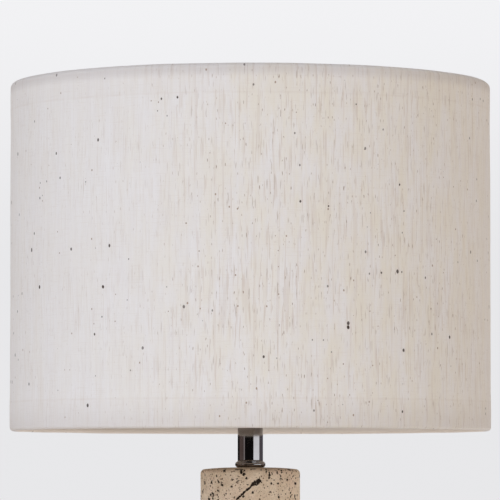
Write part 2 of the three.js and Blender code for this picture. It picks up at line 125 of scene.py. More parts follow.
class Graph:
    """A node tree, with short calls that add a node and return what it puts out."""

    def __init__(self, tree: bpy.types.NodeTree) -> None:
        """Wraps a tree."""
        self.tree = tree

    def feed(self, socket: bpy.types.NodeSocket, value: object) -> None:
        """Links an output to a socket, or sets the socket's own value.

        Args:
            socket: the input to feed.
            value: an output socket, or a plain value.
        """
        if isinstance(value, bpy.types.NodeSocket):
            self.tree.links.new(value, socket)
        else:
            socket.default_value = value

    def fill(self, sockets: bpy.types.NodeInputs, **values: object) -> None:
        """Feeds inputs by their names, with _ for a space."""
        for key, value in values.items():
            self.feed(sockets[key.replace("_", " ")], value)

    def add(self, kind: str, settings: dict | None = None, **inputs: object) -> bpy.types.Node:
        """Adds a node.

        Args:
            kind: the node's type name.
            settings: properties to set on it.
            inputs: values or outputs by the input's name, with _ for a space.

        Returns:
            The new node.
        """
        node = self.tree.nodes.new(kind)
        for key, value in (settings or {}).items():
            setattr(node, key, value)
        self.fill(node.inputs, **inputs)
        return node

    def math(self, operation: str, *values: object, clamp: bool = False) -> bpy.types.NodeSocket:
        """Adds a Math node.

        Args:
            operation: the operation's name.
            values: its inputs, in order.
            clamp: keeps the result from 0 to 1.

        Returns:
            The result.
        """
        node = self.add("ShaderNodeMath", {"operation": operation, "use_clamp": clamp})
        for socket, value in zip(node.inputs, values):
            self.feed(socket, value)
        return node.outputs[0]

    def vector(self, operation: str, *values: object, **named: object) -> bpy.types.NodeSocket:
        """Adds a Vector Math node.

        Args:
            operation: the operation's name.
            values: its vector inputs, in order.
            named: other inputs by name, such as Scale.

        Returns:
            The result: a value for DISTANCE and DOT_PRODUCT, else a vector.
        """
        node = self.add("ShaderNodeVectorMath", {"operation": operation}, **named)
        for socket, value in zip(node.inputs, values):
            self.feed(socket, value)
        scalar = operation in ("DISTANCE", "DOT_PRODUCT")
        return node.outputs["Value" if scalar else "Vector"]

    def axes(self, place: object) -> bpy.types.NodeOutputs:
        """Returns coordinates split into X, Y and Z."""
        return self.add("ShaderNodeSeparateXYZ", Vector=place).outputs

    def joined(self, x: object, y: object, z: object) -> bpy.types.NodeSocket:
        """Returns X, Y and Z as one vector."""
        return self.add("ShaderNodeCombineXYZ", X=x, Y=y, Z=z).outputs[0]

    def mix(self, share: object, first: object, second: object) -> bpy.types.NodeSocket:
        """Mixes two colours.

        Args:
            share: how much of the second shows, from 0 to 1.
            first: a colour or an output.
            second: a colour or an output.

        Returns:
            The mixed colour.
        """
        node = self.add("ShaderNodeMix", {"data_type": "RGBA"})
        for index, value in ((0, share), (6, first), (7, second)):
            plain = isinstance(value, tuple) and len(value) == 3
            self.feed(node.inputs[index], (*value, 1.0) if plain else value)
        return node.outputs[2]

    def step(self, value: object, low: object, high: object, bottom: float = 0.0,
             top: float = 1.0) -> bpy.types.NodeSocket:
        """Maps a value smoothly from low..high to bottom..top.

        Args:
            value: what is mapped.
            low: where the result is bottom.
            high: where the result is top.
            bottom: the result at low.
            top: the result at high.

        Returns:
            The mapped value.
        """
        node = self.add("ShaderNodeMapRange", {"interpolation_type": "SMOOTHSTEP"}, Value=value,
                        From_Min=low, From_Max=high, To_Min=bottom, To_Max=top)
        return node.outputs["Result"]

    def noise(self, place: object, scale: object, detail: float = 2.0,
              roughness: float = 0.5) -> bpy.types.NodeSocket:
        """Adds a noise texture.

        Args:
            place: the coordinates.
            scale: features per metre.
            detail: its octaves.
            roughness: how strong the finer octaves are.

        Returns:
            The noise, from 0 to 1.
        """
        node = self.add("ShaderNodeTexNoise", Vector=place, Scale=scale, Detail=detail,
                        Roughness=roughness)
        return node.outputs["Fac"]

    def wandering(self, place: object, scale: object, reach: object,
                  roughness: float = 0.5) -> bpy.types.NodeSocket:
        """Shifts coordinates to and fro, so that what is drawn on them is ragged.

        Args:
            place: the coordinates.
            scale: shifts per metre.
            reach: how far the shifts go, in metres.
            roughness: how strong the finer shifts are.

        Returns:
            The shifted coordinates.
        """
        shifts = self.add("ShaderNodeTexNoise", Vector=place, Scale=scale, Detail=2.0,
                          Roughness=roughness).outputs["Color"]
        centred = self.vector("SUBTRACT", shifts, (0.5, 0.5, 0.5))
        return self.vector("ADD", place, self.vector("SCALE", centred, Scale=reach))

    def stretch(self, place: object, scale: Sequence[float],
                offset: Sequence[float] = (0, 0, 0)) -> bpy.types.NodeSocket:
        """Scales coordinates by a factor along each axis, then moves them."""
        scaled = self.vector("MULTIPLY", place, tuple(scale))
        return self.vector("ADD", scaled, tuple(offset))

    def group(self, tree: bpy.types.NodeTree, **inputs: object) -> bpy.types.NodeSocket:
        """Places an effect's group, given its inputs by name, and returns what it puts out."""
        return self.add("ShaderNodeGroup", {"node_tree": tree}, **inputs).outputs[0]

    def bump(self, height: object, distance: float, strength: float) -> bpy.types.NodeSocket:
        """Turns a height into a normal.

        Args:
            height: the height, from 0 to 1.
            distance: the height of 1, in metres.
            strength: how much of it shows.

        Returns:
            The normal.
        """
        node = self.add("ShaderNodeBump", Strength=strength, Distance=distance, Height=height)
        return node.outputs["Normal"]

    def own_place(self) -> bpy.types.NodeSocket:
        """Returns the piece's own coordinates."""
        return self.add("ShaderNodeTexCoord").outputs["Object"]

    def cloth_place(self) -> bpy.types.NodeSocket:
        """Returns the place on a cloth or sheet, as metres along it and up it."""
        return self.add("ShaderNodeUVMap", {"uv_map": CLOTH_UV}).outputs["UV"]


CLOTH_UV = "Cloth"


class Effect:
    """A shader node group that more than one finish can use: it reads Place and its own inputs."""

    def __init__(self, name: str, output: str, **inputs: float | Spot) -> None:
        """Makes the empty group.

        Args:
            name: the group's name.
            output: the name of the value that it puts out.
            inputs: each input's default: a number, or a tuple for a vector.
        """
        self.tree = bpy.data.node_groups.new(name, "ShaderNodeTree")
        for key, default in {"Place": (0.0, 0.0, 0.0), **inputs}.items():
            kind = "NodeSocketVector" if isinstance(default, tuple) else "NodeSocketFloat"
            socket = self.tree.interface.new_socket(key, in_out="INPUT", socket_type=kind)
            socket.default_value = default
        self.tree.interface.new_socket(output, in_out="OUTPUT", socket_type="NodeSocketFloat")
        self.graph = Graph(self.tree)
        self.inputs = self.tree.nodes.new("NodeGroupInput").outputs

    def giving(self, value: bpy.types.NodeSocket) -> bpy.types.NodeTree:
        """Joins the result to the group's output and returns the finished group."""
        self.graph.feed(self.tree.nodes.new("NodeGroupOutput").inputs[0], value)
        return self.tree


@cache
def chips() -> bpy.types.NodeTree:
    """Makes ragged chips scattered through a solid.

    Returns:
        The group. Mask is 1 in a chip.
    """
    effect = Effect("chips", "Mask", Cell=0.005, Share=0.3, Reach=0.35, Ragged=0.3)
    g, given = effect.graph, effect.inputs
    per_metre = g.math("DIVIDE", 1.0, given["Cell"])
    reach = g.math("MULTIPLY", given["Ragged"], given["Cell"])
    place = g.wandering(given["Place"], g.math("MULTIPLY", per_metre, 2.2), reach, 0.6)
    cells = g.add("ShaderNodeTexVoronoi", Vector=place, Scale=per_metre).outputs
    random = g.add("ShaderNodeSeparateColor", Color=cells["Color"]).outputs
    there = g.math("LESS_THAN", random[0], given["Share"])
    size = g.math("MULTIPLY_ADD", random[1], 0.75, 0.25)
    size = g.math("MULTIPLY", size, given["Reach"])
    mask = g.step(cells["Distance"], size, g.math("MULTIPLY", size, 0.8))
    return effect.giving(g.math("MULTIPLY", mask, there))


@cache
def streak() -> bpy.types.NodeTree:
    """Makes a ragged vein between two points.

    Returns:
        The group. Mask is 1 in the vein.
    """
    effect = Effect("streak", "Mask", Start=(0.0, 0.0, 0.0), End=(0.0, 0.0, 0.01), Width=0.001)
    g, given = effect.graph, effect.inputs
    along = g.vector("SUBTRACT", given["End"], given["Start"])
    off = g.vector("SUBTRACT", given["Place"], given["Start"])
    share = g.math(
        "DIVIDE", g.vector("DOT_PRODUCT", off, along), g.vector("DOT_PRODUCT", along, along),
        clamp=True,
    )
    gap = g.vector("DISTANCE", off, g.vector("SCALE", along, Scale=share))
    ragged = g.noise(given["Place"], 520.0, 3.0, 0.65)
    width = g.math("MULTIPLY", given["Width"], g.step(ragged, 0.34, 0.64, 0.35, 1.45))
    return effect.giving(g.step(gap, width, g.math("MULTIPLY", width, 0.75)))


@cache
def slubs() -> bpy.types.NodeTree:
    """Makes thick places in a yarn. Place runs across the yarn, then along it.

    Returns:
        The group. Mask is 1 in a thick place.
    """
    effect = Effect("slubs", "Mask", Width=0.0008, Length=0.01, Share=0.1, Seed=0.0)
    g, given = effect.graph, effect.inputs
    parts = g.axes(given["Place"])
    across = g.math("DIVIDE", parts[0], given["Width"])
    along = g.math("DIVIDE", parts[1], given["Length"])
    streaks = g.noise(g.joined(across, along, given["Seed"]), 1.0, 1.0)
    level = g.math("MULTIPLY_ADD", given["Share"], -0.6, 0.78)
    return effect.giving(g.step(streaks, level, g.math("ADD", level, 0.07)))


@cache
def weave() -> bpy.types.NodeTree:
    """Makes a plain weave.

    Returns:
        The group. Height is 0 in the gaps and 1 on top of a yarn.
    """
    effect = Effect("weave", "Height", Pitch=0.0006)
    g, given = effect.graph, effect.inputs
    place = g.wandering(given["Place"], 180.0, g.math("MULTIPLY", given["Pitch"], 1.1))
    parts = g.axes(g.vector("SCALE", place, Scale=g.math("DIVIDE", math.pi, given["Pitch"])))
    across, along = g.math("SINE", parts[0]), g.math("SINE", parts[1])
    warp = g.step(g.math("MULTIPLY", across, along), -0.12, 0.12)
    warp_height = g.math("MULTIPLY", g.math("ABSOLUTE", across), warp)
    weft_height = g.math("MULTIPLY", g.math("ABSOLUTE", along), g.math("SUBTRACT", 1.0, warp))
    return effect.giving(g.math("ADD", warp_height, weft_height))


@cache
def dust() -> bpy.types.NodeTree:
    """Makes fine dust that lies where a surface looks up.

    Returns:
        The group. Mask is how much shows.
    """
    effect = Effect("dust", "Mask", Amount=0.2)
    g, given = effect.graph, effect.inputs
    up = g.axes(g.add("ShaderNodeNewGeometry").outputs["Normal"])[2]
    patches = g.step(g.noise(given["Place"], 60.0, 3.0, 0.6), 0.35, 0.7, 0.35, 1.0)
    specks = g.step(g.noise(given["Place"], 1400.0, 1.0), 0.58, 0.68, 0.75, 1.0)
    lying = g.math("MULTIPLY", g.math("MULTIPLY", g.step(up, 0.35, 0.95), patches), specks)
    return effect.giving(g.math("MULTIPLY", lying, given["Amount"]))


@cache
def handling() -> bpy.types.NodeTree:
    """Makes smears and fine scuffs from handling.

    Returns:
        The group. Change is a change of roughness round 0.
    """
    effect = Effect("handling", "Change", Amount=0.1)
    g, given = effect.graph, effect.inputs
    smears = g.math("SUBTRACT", g.noise(given["Place"], 90.0, 4.0, 0.6), 0.5)
    scuffs = g.math("SUBTRACT", g.noise(g.stretch(given["Place"], (1, 1, 0.1)), 900.0), 0.5)
    both = g.math("ADD", smears, g.math("MULTIPLY", scuffs, 0.4))
    return effect.giving(g.math("MULTIPLY", both, given["Amount"]))


@cache
def wear() -> bpy.types.NodeTree:
    """Makes rubbed edges.

    Returns:
        The group. Mask is Amount where an edge has lost its surface.
    """
    effect = Effect("wear", "Mask", Amount=0.5)
    g, given = effect.graph, effect.inputs
    edge = g.add("ShaderNodeNewGeometry").outputs["Pointiness"]
    broken = g.noise(given["Place"], 700.0, 3.0, 0.6)
    level = g.math("MULTIPLY_ADD", g.math("SUBTRACT", broken, 0.5), 0.06, edge)
    return effect.giving(g.math("MULTIPLY", g.step(level, 0.53, 0.57), given["Amount"]))


# ---- Finishes --------------------------------------------------------------------------------


@dataclass(frozen=True)
class Finish:
    """A surface finish. A subclass paints its material's nodes."""

    name: str
    slot: str

    @cache
    def material(self) -> bpy.types.Material:
        """Returns the finish's material, made on the first call."""
        material = bpy.data.materials.new(self.name)
        material.use_nodes = True
        self.paint(Graph(material.node_tree), material.node_tree.nodes["Principled BSDF"].inputs)
        return material

    def paint(self, g: Graph, shader: bpy.types.NodeInputs) -> None:
        """Feeds the material's shader. Each finish has its own.

        Args:
            g: the material's node tree.
            shader: the shader's inputs.
        """
        raise NotImplementedError


@dataclass(frozen=True)
class Linen(Finish):
    """Natural linen: off-white plain weave with brown slubs, seed flecks and a hem behind it; painted
    shade at its rounded edges and painted light on its turned-in flap.
    """

    name: str = "linen_cloth"
    slot: str = "linen"
    ground: Colour = (0.775, 0.745, 0.725)
    pale: Colour = (0.825, 0.808, 0.800)
    slub: Colour = (0.330, 0.230, 0.165)
    tan: Colour = (0.600, 0.505, 0.430)
    straw: Colour = (0.780, 0.728, 0.620)
    seed: Colour = (0.045, 0.025, 0.018)
    # painted light: the turned-in flap is painted paler and warmer, for light that comes through the
    # shade
    flap: Colour = (0.940, 0.860, 0.770)
    # painted shade on the cloth's rounded top and bottom edges
    edge_shade: Colour = (0.500, 0.460, 0.450)
    height: float = 0.22
    hem: float = 0.018
    pitch: float = 0.00062
    dense_at: float = 0.56

    def paint(self, g: Graph, shader: bpy.types.NodeInputs) -> None:
        """Feeds the shader, as Finish.paint says."""
        place = g.cloth_place()
        colour = self.yarns(g, place)
        colour = self.slub_marks(g, place, colour)
        # painted shade at the edges and behind the hem, painted light on the turned-in flap
        colour = self.painted_hem_shade_and_light(g, place, colour)
        thick = g.noise(g.stretch(place, (1400.0, 110.0, 1.0)), 1.0)
        cloth = g.group(weave(), Place=place, Pitch=self.pitch)
        relief = g.bump(g.math("MULTIPLY_ADD", thick, 0.7, cloth), 0.00016, 0.75)
        g.fill(shader, Base_Color=self.flecks(g, place, colour), Roughness=0.92,
               Specular_IOR_Level=0.25, Sheen_Weight=0.12, Normal=relief)

    def from_band(self, g: Graph, place: bpy.types.NodeSocket) -> bpy.types.NodeSocket:
        """Returns how far along the cloth a place is from where its slubs are densest."""
        return g.math("ABSOLUTE", g.math("SUBTRACT", g.axes(place)[0], self.dense_at))

    def yarns(self, g: Graph, place: bpy.types.NodeSocket) -> bpy.types.NodeSocket:
        """Makes the ground colour: broad clouds, and yarns that differ a little from each other.

        Args:
            g: the material's node tree.
            place: the place on the cloth.

        Returns:
            The colour.
        """
        clouds = g.noise(place, 14.0, 4.0, 0.55)
        upright = g.noise(g.stretch(place, (1150.0, 60.0, 1.0)), 1.0, 3.0, 0.6)
        level = g.noise(g.stretch(place, (45.0, 1050.0, 1.0), (3.0, 7.0, 0.0)), 1.0, 3.0, 0.6)
        broad = g.noise(g.stretch(place, (330.0, 16.0, 1.0), (5.0, 1.0, 0.0)), 1.0, 3.0, 0.65)
        mixed = g.math("MULTIPLY_ADD", upright, 0.45, g.math("MULTIPLY", level, 0.15))
        mixed = g.math("MULTIPLY_ADD", clouds, 0.25, mixed)
        mixed = g.math("MULTIPLY_ADD", broad, 0.5, mixed)
        colour = g.mix(g.step(mixed, 0.46, 0.90), self.ground, self.pale)
        warm = g.noise(g.stretch(place, (75.0, 17.0, 1.0), (1.0, 4.0, 0.0)), 1.0, 5.0, 0.7)
        band = g.step(self.from_band(g, place), 0.20, 0.03, 0.25, 1.0)
        warm = g.math("MULTIPLY", g.step(warm, 0.32, 0.68, 0.0, 0.78), band)
        colour = g.mix(warm, colour, self.straw)
        cloth = g.group(weave(), Place=place, Pitch=self.pitch)
        return g.mix(g.step(cloth, 0.45, 0.05, 0.0, 0.10), colour, self.tan)

    def slub_marks(self, g: Graph, place: bpy.types.NodeSocket,
                   colour: bpy.types.NodeSocket) -> bpy.types.NodeSocket:
        """Adds the brown slubs: long faint ones, short dark ones and a few across.

        Args:
            g: the material's node tree.
            place: the place on the cloth.
            colour: the colour so far.

        Returns:
            The colour with its slubs.
        """
        dense = g.step(self.from_band(g, place), 0.20, 0.05, 0.0, 0.65)
        patch = g.math("ADD", g.step(g.noise(place, 11.0), 0.3, 0.7, 0.1, 0.6), dense)
        kinds = (
            (0.0024, 0.050, 0.34, self.tan, 0.20, 1.0),
            (0.0012, 0.026, 0.30, self.tan, 0.42, 3.0),
            (0.0009, 0.011, 0.22, self.slub, 0.36, 5.0),
            (0.0009, 0.0042, 0.15, self.slub, 0.80, 9.0),
        )
        for width, length, share, tint, strength, seed in kinds:
            marks = g.group(slubs(), Place=place, Width=width, Length=length, Share=share,
                            Seed=seed)
            shown = g.math("MULTIPLY", g.math("MULTIPLY", marks, patch), strength)
            colour = g.mix(shown, colour, tint)
        sideways = g.add("ShaderNodeMapping", Vector=place, Rotation=(0.0, 0.0, math.pi / 2))
        across = g.group(slubs(), Place=sideways.outputs[0], Width=0.0006, Length=0.014,
                         Share=0.30, Seed=13.0)
        return g.mix(g.math("MULTIPLY", across, 0.10), colour, self.tan)

    def painted_hem_shade_and_light(self, g: Graph, place: bpy.types.NodeSocket,
                   colour: bpy.types.NodeSocket) -> bpy.types.NodeSocket:
        """Paints shade and light: darker near the rounded top and bottom edges, a little darker where
        the turned-in hem lies behind the cloth and along the hem's edge, and paler on the turned-in
        flap.

        Args:
            g: the material's node tree.
            place: the place on the cloth.
            colour: the colour so far.

        Returns:
            The colour with its painted shade and painted light.
        """
        up = g.axes(place)[1]
        from_top = g.math("SUBTRACT", self.height, up)
        from_edge = g.math("MINIMUM", up, from_top)
        # painted shade where the turned-in hem lies behind the cloth
        behind = g.step(from_edge, self.hem + 0.0004, self.hem - 0.0004, 0.0, 0.04)
        # painted shade: darker within about a centimetre of the rounded top and bottom edges
        top_edge_shade = g.step(from_top, 0.0095, 0.0034, 0.0, 0.40)
        foot_edge_shade = g.step(g.math("ABSOLUTE", up), 0.0200, 0.0, 0.0, 0.24)
        colour = g.mix(g.math("MAXIMUM", top_edge_shade, foot_edge_shade), colour, self.edge_shade)
        # a painted shadow line along the hem's edge
        line = g.step(g.math("ABSOLUTE", g.math("SUBTRACT", from_edge, self.hem)), 0.0009, 0.0003,
                      0.0, 0.13)
        broken = g.step(g.noise(g.stretch(place, (60.0, 0.0, 0.0)), 1.0), 0.35, 0.6, 0.2, 1.0)
        shown = g.math("ADD", behind, g.math("MULTIPLY", line, broken))
        # painted light: the turned-in lower flap is painted paler and warmer
        flap_glow = g.step(up, -0.0010, -0.0030, 0.0, 0.85)
        return g.mix(flap_glow, g.mix(shown, colour, self.tan), self.flap)

    def flecks(self, g: Graph, place: bpy.types.NodeSocket,
               colour: bpy.types.NodeSocket) -> bpy.types.NodeSocket:
        """Adds the seed flecks: few dark ones of a millimetre or two, and smaller brown ones.

        Args:
            g: the material's node tree.
            place: the place on the cloth.
            colour: the colour so far.

        Returns:
            The colour with its flecks.
        """
        tall = g.stretch(place, (1.0, 0.72, 1.0))
        for cell, share, reach, tint, strength in (
            (0.0060, 0.55, 0.105, self.slub, 0.85),
            (0.0088, 0.60, 0.100, self.seed, 0.72),
            (0.0115, 0.90, 0.092, self.seed, 0.90),
            (0.0230, 0.95, 0.053, self.seed, 0.98),
        ):
            spots = g.group(chips(), Place=tall, Cell=cell, Share=share, Reach=reach, Ragged=0.05)
            colour = g.mix(g.math("MULTIPLY", spots, strength), colour, tint)
        return colour


@dataclass(frozen=True)
class CastStone(Finish):
    """Cast stone: a beige ground with dark chips, small brown specks, a vein and open pits."""

    name: str = "speckled_stone"
    slot: str = "cast_stone"
    ground: Colour = (0.765, 0.620, 0.465)
    pale: Colour = (0.900, 0.775, 0.620)
    pink: Colour = (0.830, 0.630, 0.500)
    brown: Colour = (0.190, 0.110, 0.062)
    dark: Colour = (0.022, 0.014, 0.009)
    vein_start: Spot = (-0.0085, 0.0, 0.2370)
    vein_end: Spot = (0.0050, 0.0, 0.2492)
    vein_width: float = 0.00075

    def paint(self, g: Graph, shader: bpy.types.NodeInputs) -> None:
        """Feeds the shader, as Finish.paint says."""
        place = g.own_place()
        grit = g.noise(place, 1500.0, 2.0, 0.6)
        cloud = g.noise(place, 90.0, 4.0, 0.6)
        colour = g.mix(g.step(cloud, 0.30, 0.70), self.ground, self.pale)
        colour = g.mix(g.step(g.noise(place, 45.0), 0.45, 0.70, 0.0, 0.55), colour, self.pink)
        colour = g.mix(g.step(grit, 0.30, 0.75, 0.30, 0.0), colour, self.brown)
        pits: object = 0.0
        for cell, share, reach, ragged, tint, strength in (
            (0.0016, 0.90, 0.36, 0.40, self.brown, 0.85),
            (0.0026, 0.90, 0.36, 0.60, self.dark, 0.97),
            (0.0044, 0.75, 0.34, 0.90, self.dark, 1.0),
            (0.0088, 0.55, 0.30, 1.10, self.dark, 1.0),
        ):
            spots = g.group(chips(), Place=place, Cell=cell, Share=share, Reach=reach,
                            Ragged=ragged)
            shown = g.math("MULTIPLY", spots, strength)
            colour = g.mix(shown, colour, tint)
            pits = g.math("MAXIMUM", pits, shown)
        front_on = g.vector("MULTIPLY", place, (1.0, 0.0, 1.0))
        vein = g.group(streak(), Place=front_on, Start=self.vein_start, End=self.vein_end,
                       Width=self.vein_width)
        colour = g.mix(vein, colour, self.dark)
        pits = g.math("MAXIMUM", pits, vein)
        lying = g.group(dust(), Place=place, Amount=0.18)
        relief = g.math("MULTIPLY_ADD", pits, -1.0, g.math("MULTIPLY", grit, 0.35))
        g.fill(shader, Base_Color=g.mix(lying, colour, self.pale), Specular_IOR_Level=0.2,
               Roughness=g.step(pits, 0.0, 1.0, 0.88, 0.75), Normal=g.bump(relief, 0.00035, 0.7))


@dataclass(frozen=True)
class Metal(Finish):
    """A bare or plated metal with smears, and scratches that follow its turning."""

    colour: Colour
    shade: Colour
    roughness: float = 0.07
    smears: float = 0.05
    scratches: float = 0.0000012
    grime: float = 0.0

    def paint(self, g: Graph, shader: bpy.types.NodeInputs) -> None:
        """Feeds the shader, as Finish.paint says."""
        place = g.own_place()
        tone = g.noise(place, 120.0, 3.0)
        colour = g.mix(g.step(tone, 0.3, 0.7), self.shade, self.colour)
        rubbed = g.group(wear(), Place=place, Amount=0.35)
        change = g.group(handling(), Place=place, Amount=self.smears)
        lying = g.group(dust(), Place=place, Amount=0.12 + self.grime)
        rough = g.math("ADD", g.math("ADD", change, self.roughness), lying, clamp=True)
        rings = g.noise(g.stretch(place, (30.0, 30.0, 5200.0)), 1.0)
        g.fill(shader, Base_Color=g.mix(rubbed, colour, self.colour), Metallic=1.0,
               Roughness=rough, Normal=g.bump(rings, self.scratches, 0.5))


PALE_DUST = (0.62, 0.59, 0.55)


@dataclass(frozen=True)
class Plastic(Finish):
    """A moulded or painted surface with fine grain, dust and rubbed edges."""

    colour: Colour = (0.02, 0.02, 0.02)
    rubbed: Colour = (0.08, 0.08, 0.08)
    roughness: float = 0.42
    grain: float = 0.00003
    grain_scale: float = 2200.0
    sheer: float = 0.0

    def paint(self, g: Graph, shader: bpy.types.NodeInputs) -> None:
        """Feeds the shader, as Finish.paint says."""
        place = g.own_place()
        tone = g.step(g.noise(place, 70.0, 3.0), 0.3, 0.7, 0.0, 0.22)
        colour = g.mix(tone, self.colour, self.rubbed)
        edges = g.group(wear(), Place=place, Amount=0.5)
        colour = g.mix(edges, colour, self.rubbed)
        lying = g.group(dust(), Place=place, Amount=0.15)
        change = g.group(handling(), Place=place, Amount=0.12)
        grain = g.noise(place, self.grain_scale, 2.0, 0.6)
        g.fill(shader, Base_Color=g.mix(lying, colour, PALE_DUST),
               Roughness=g.math("ADD", change, self.roughness, clamp=True),
               Normal=g.bump(grain, self.grain, 0.6))
        if self.sheer:
            g.fill(shader, Subsurface_Weight=self.sheer, Subsurface_Radius=(0.004, 0.0035, 0.003))


@dataclass(frozen=True)
class LinerSheet(Finish):
    """The liner: a warm white plastic sheet with a faint pressed texture and long soft streaks."""

    name: str = "warm_liner"
    slot: str = "liner_sheet"
    colour: Colour = (0.700, 0.630, 0.550)
    warm: Colour = (0.620, 0.535, 0.450)

    def paint(self, g: Graph, shader: bpy.types.NodeInputs) -> None:
        """Feeds the shader, as Finish.paint says."""
        place = g.cloth_place()
        streaks = g.noise(g.stretch(place, (900.0, 40.0, 1.0)), 1.0, 3.0)
        clouds = g.noise(place, 18.0, 3.0)
        tone = g.math("MULTIPLY_ADD", streaks, 0.5, g.math("MULTIPLY", clouds, 0.5))
        g.fill(shader, Base_Color=g.mix(g.step(tone, 0.35, 0.65), self.colour, self.warm),
               Roughness=g.step(clouds, 0.3, 0.7, 0.55, 0.66),
               Normal=g.bump(g.noise(place, 2600.0), 0.00004, 0.5))


@dataclass(frozen=True)
class Felt(Finish):
    """Pressed felt with loose fibres."""

    name: str = "grey_felt"
    slot: str = "felt"
    colour: Colour = (0.060, 0.055, 0.052)
    fibre: Colour = (0.150, 0.140, 0.130)

    def paint(self, g: Graph, shader: bpy.types.NodeInputs) -> None:
        """Feeds the shader, as Finish.paint says."""
        place = g.own_place()
        mat = g.noise(place, 900.0, 5.0, 0.75)
        curls = g.noise(g.stretch(place, (300.0, 1600.0, 900.0)), 1.0, 3.0, 0.7)
        both = g.math("MULTIPLY_ADD", mat, 0.6, g.math("MULTIPLY", curls, 0.4))
        g.fill(shader, Base_Color=g.mix(g.step(both, 0.38, 0.66), self.colour, self.fibre),
               Roughness=1.0, Sheen_Weight=0.4, Normal=g.bump(both, 0.0006, 0.8))


@dataclass(frozen=True)
class Opal(Finish):
    """The bulb's opal globe, which shows a little of the light that falls through it."""

    name: str = "opal_globe"
    slot: str = "frosted_diffuser"
    colour: Colour = (0.900, 0.885, 0.860)
    warm: Colour = (0.840, 0.810, 0.760)
    dusty: Colour = (0.660, 0.620, 0.570)

    def paint(self, g: Graph, shader: bpy.types.NodeInputs) -> None:
        """Feeds the shader, as Finish.paint says."""
        place = g.own_place()
        clouds = g.noise(place, 35.0, 3.0)
        colour = g.mix(g.step(clouds, 0.3, 0.7), self.colour, self.warm)
        lying = g.group(dust(), Place=place, Amount=0.25)
        change = g.group(handling(), Place=place, Amount=0.15)
        g.fill(shader, Base_Color=g.mix(lying, colour, self.dusty),
               Roughness=g.math("ADD", change, 0.3, clamp=True), Subsurface_Weight=0.25,
               Subsurface_Radius=(0.012, 0.010, 0.008),
               Normal=g.bump(g.noise(place, 1800.0), 0.00002, 0.4))


@dataclass(frozen=True)
class Laminate(Finish):
    """A circuit board: green varnish over woven glass, with paler traces."""

    name: str = "green_laminate"
    slot: str = "circuit_board"
    colour: Colour = (0.018, 0.110, 0.045)
    trace: Colour = (0.045, 0.200, 0.085)

    def paint(self, g: Graph, shader: bpy.types.NodeInputs) -> None:
        """Feeds the shader, as Finish.paint says."""
        place = g.own_place()
        cells = g.add("ShaderNodeTexVoronoi", {"distance": "CHEBYCHEV"}, Vector=place, Scale=420.0)
        lines = g.step(cells.outputs["Distance"], 0.42, 0.36)
        relief = g.math("ADD", lines, g.noise(place, 2600.0))
        g.fill(shader, Base_Color=g.mix(lines, self.trace, self.colour),
               Roughness=g.step(g.noise(place, 300.0), 0.3, 0.7, 0.25, 0.4),
               Normal=g.bump(relief, 0.00004, 0.5))


STONE = CastStone()
LINEN = Linen()
LINER = LinerSheet()
FELT = Felt()
OPAL = Opal()
LAMINATE = Laminate()
PHOSPHOR = Plastic("led_phosphor", "board_aluminium", (0.82, 0.66, 0.14), (0.7, 0.52, 0.1), 0.45)
CHROME = Metal("smoked_chrome", "dark_chrome", (0.31, 0.30, 0.295), (0.26, 0.245, 0.24))
ZINC = Metal("zinc_plate", "zinc_steel", (0.52, 0.52, 0.50), (0.38, 0.38, 0.36), 0.36, 0.2,
             0.00004, 0.1)
BRASS = Metal("pressed_brass", "brass", (0.62, 0.43, 0.16), (0.50, 0.33, 0.11), 0.26, 0.18,
              0.00002)
NICKEL = Metal("nickel_plate", "nickel", (0.66, 0.64, 0.59), (0.55, 0.53, 0.48), 0.22, 0.15,
               0.00002)
BLACK = Plastic("black_moulding", "black_plastic")
WHITE = Plastic("white_moulding", "white_plastic", (0.80, 0.785, 0.75), (0.70, 0.68, 0.64), 0.38,
                sheer=0.1)
ENAMEL = Plastic("baked_enamel", "white_enamel", (0.78, 0.765, 0.74), (0.66, 0.63, 0.59), 0.34,
                 0.00006, 1300.0)
DARK_GLASS = Plastic("black_glass", "dark_glass", (0.012, 0.008, 0.016), (0.05, 0.045, 0.055),
                     0.12, 0.00001)
BOARD_WHITE = Plastic("board_coating", "board_aluminium", (0.76, 0.77, 0.75), (0.6, 0.61, 0.6),
                      0.5)


# ---- Meshes ----------------------------------------------------------------------------------


def in_scene(name: str, data: bpy.types.ID) -> bpy.types.Object:
    """Puts a mesh, a light or a camera in the scene.

    Args:
        name: the new object's name.
        data: what it shows.

    Returns:
        The object.
    """
    thing = bpy.data.objects.new(name, data)
    bpy.context.scene.collection.objects.link(thing)
    return thing


def make_object(name: str, points: np.ndarray, faces: list[tuple[int, ...]],
                sharp_angle: float = 32.0) -> bpy.types.Object:
    """Makes a smooth-shaded mesh object with its sharp edges kept.

    Args:
        name: the object's name.
        points: the vertices.
        faces: the faces, as indices of vertices.
        sharp_angle: edges that turn by more degrees than this stay sharp.

    Returns:
        The object, in the scene.
    """
    mesh = bpy.data.meshes.new(name)
    mesh.from_pydata([tuple(point) for point in points], [], faces)
    mesh.validate()
    mesh.shade_smooth()
    mesh.set_sharp_from_angle(angle=math.radians(sharp_angle))
    return in_scene(name, mesh)


def section(inner: float, outer: float, bottom: float, top: float) -> Outline:
    """Returns the four corners of a flat-sided ring's section."""
    return [(inner, bottom), (outer, bottom), (outer, top), (inner, top)]


def between(start: Point, end: Point, count: int) -> Outline:
    """Returns evenly spaced points from start to end, both included."""
    return list(zip(np.linspace(start[0], end[0], count), np.linspace(start[1], end[1], count)))


def arc(centre: Point, radius: float, start: float, end: float, steps: int) -> Outline:
    """Returns points of an arc, angles in degrees, both ends included."""
    angles = np.radians(np.linspace(start, end, steps + 1))
    return [(centre[0] + radius * math.cos(a), centre[1] + radius * math.sin(a)) for a in angles]


LEAST_TURN = math.radians(15)
LONGEST_CUT = 0.4
NO_LENGTH = 1e-9


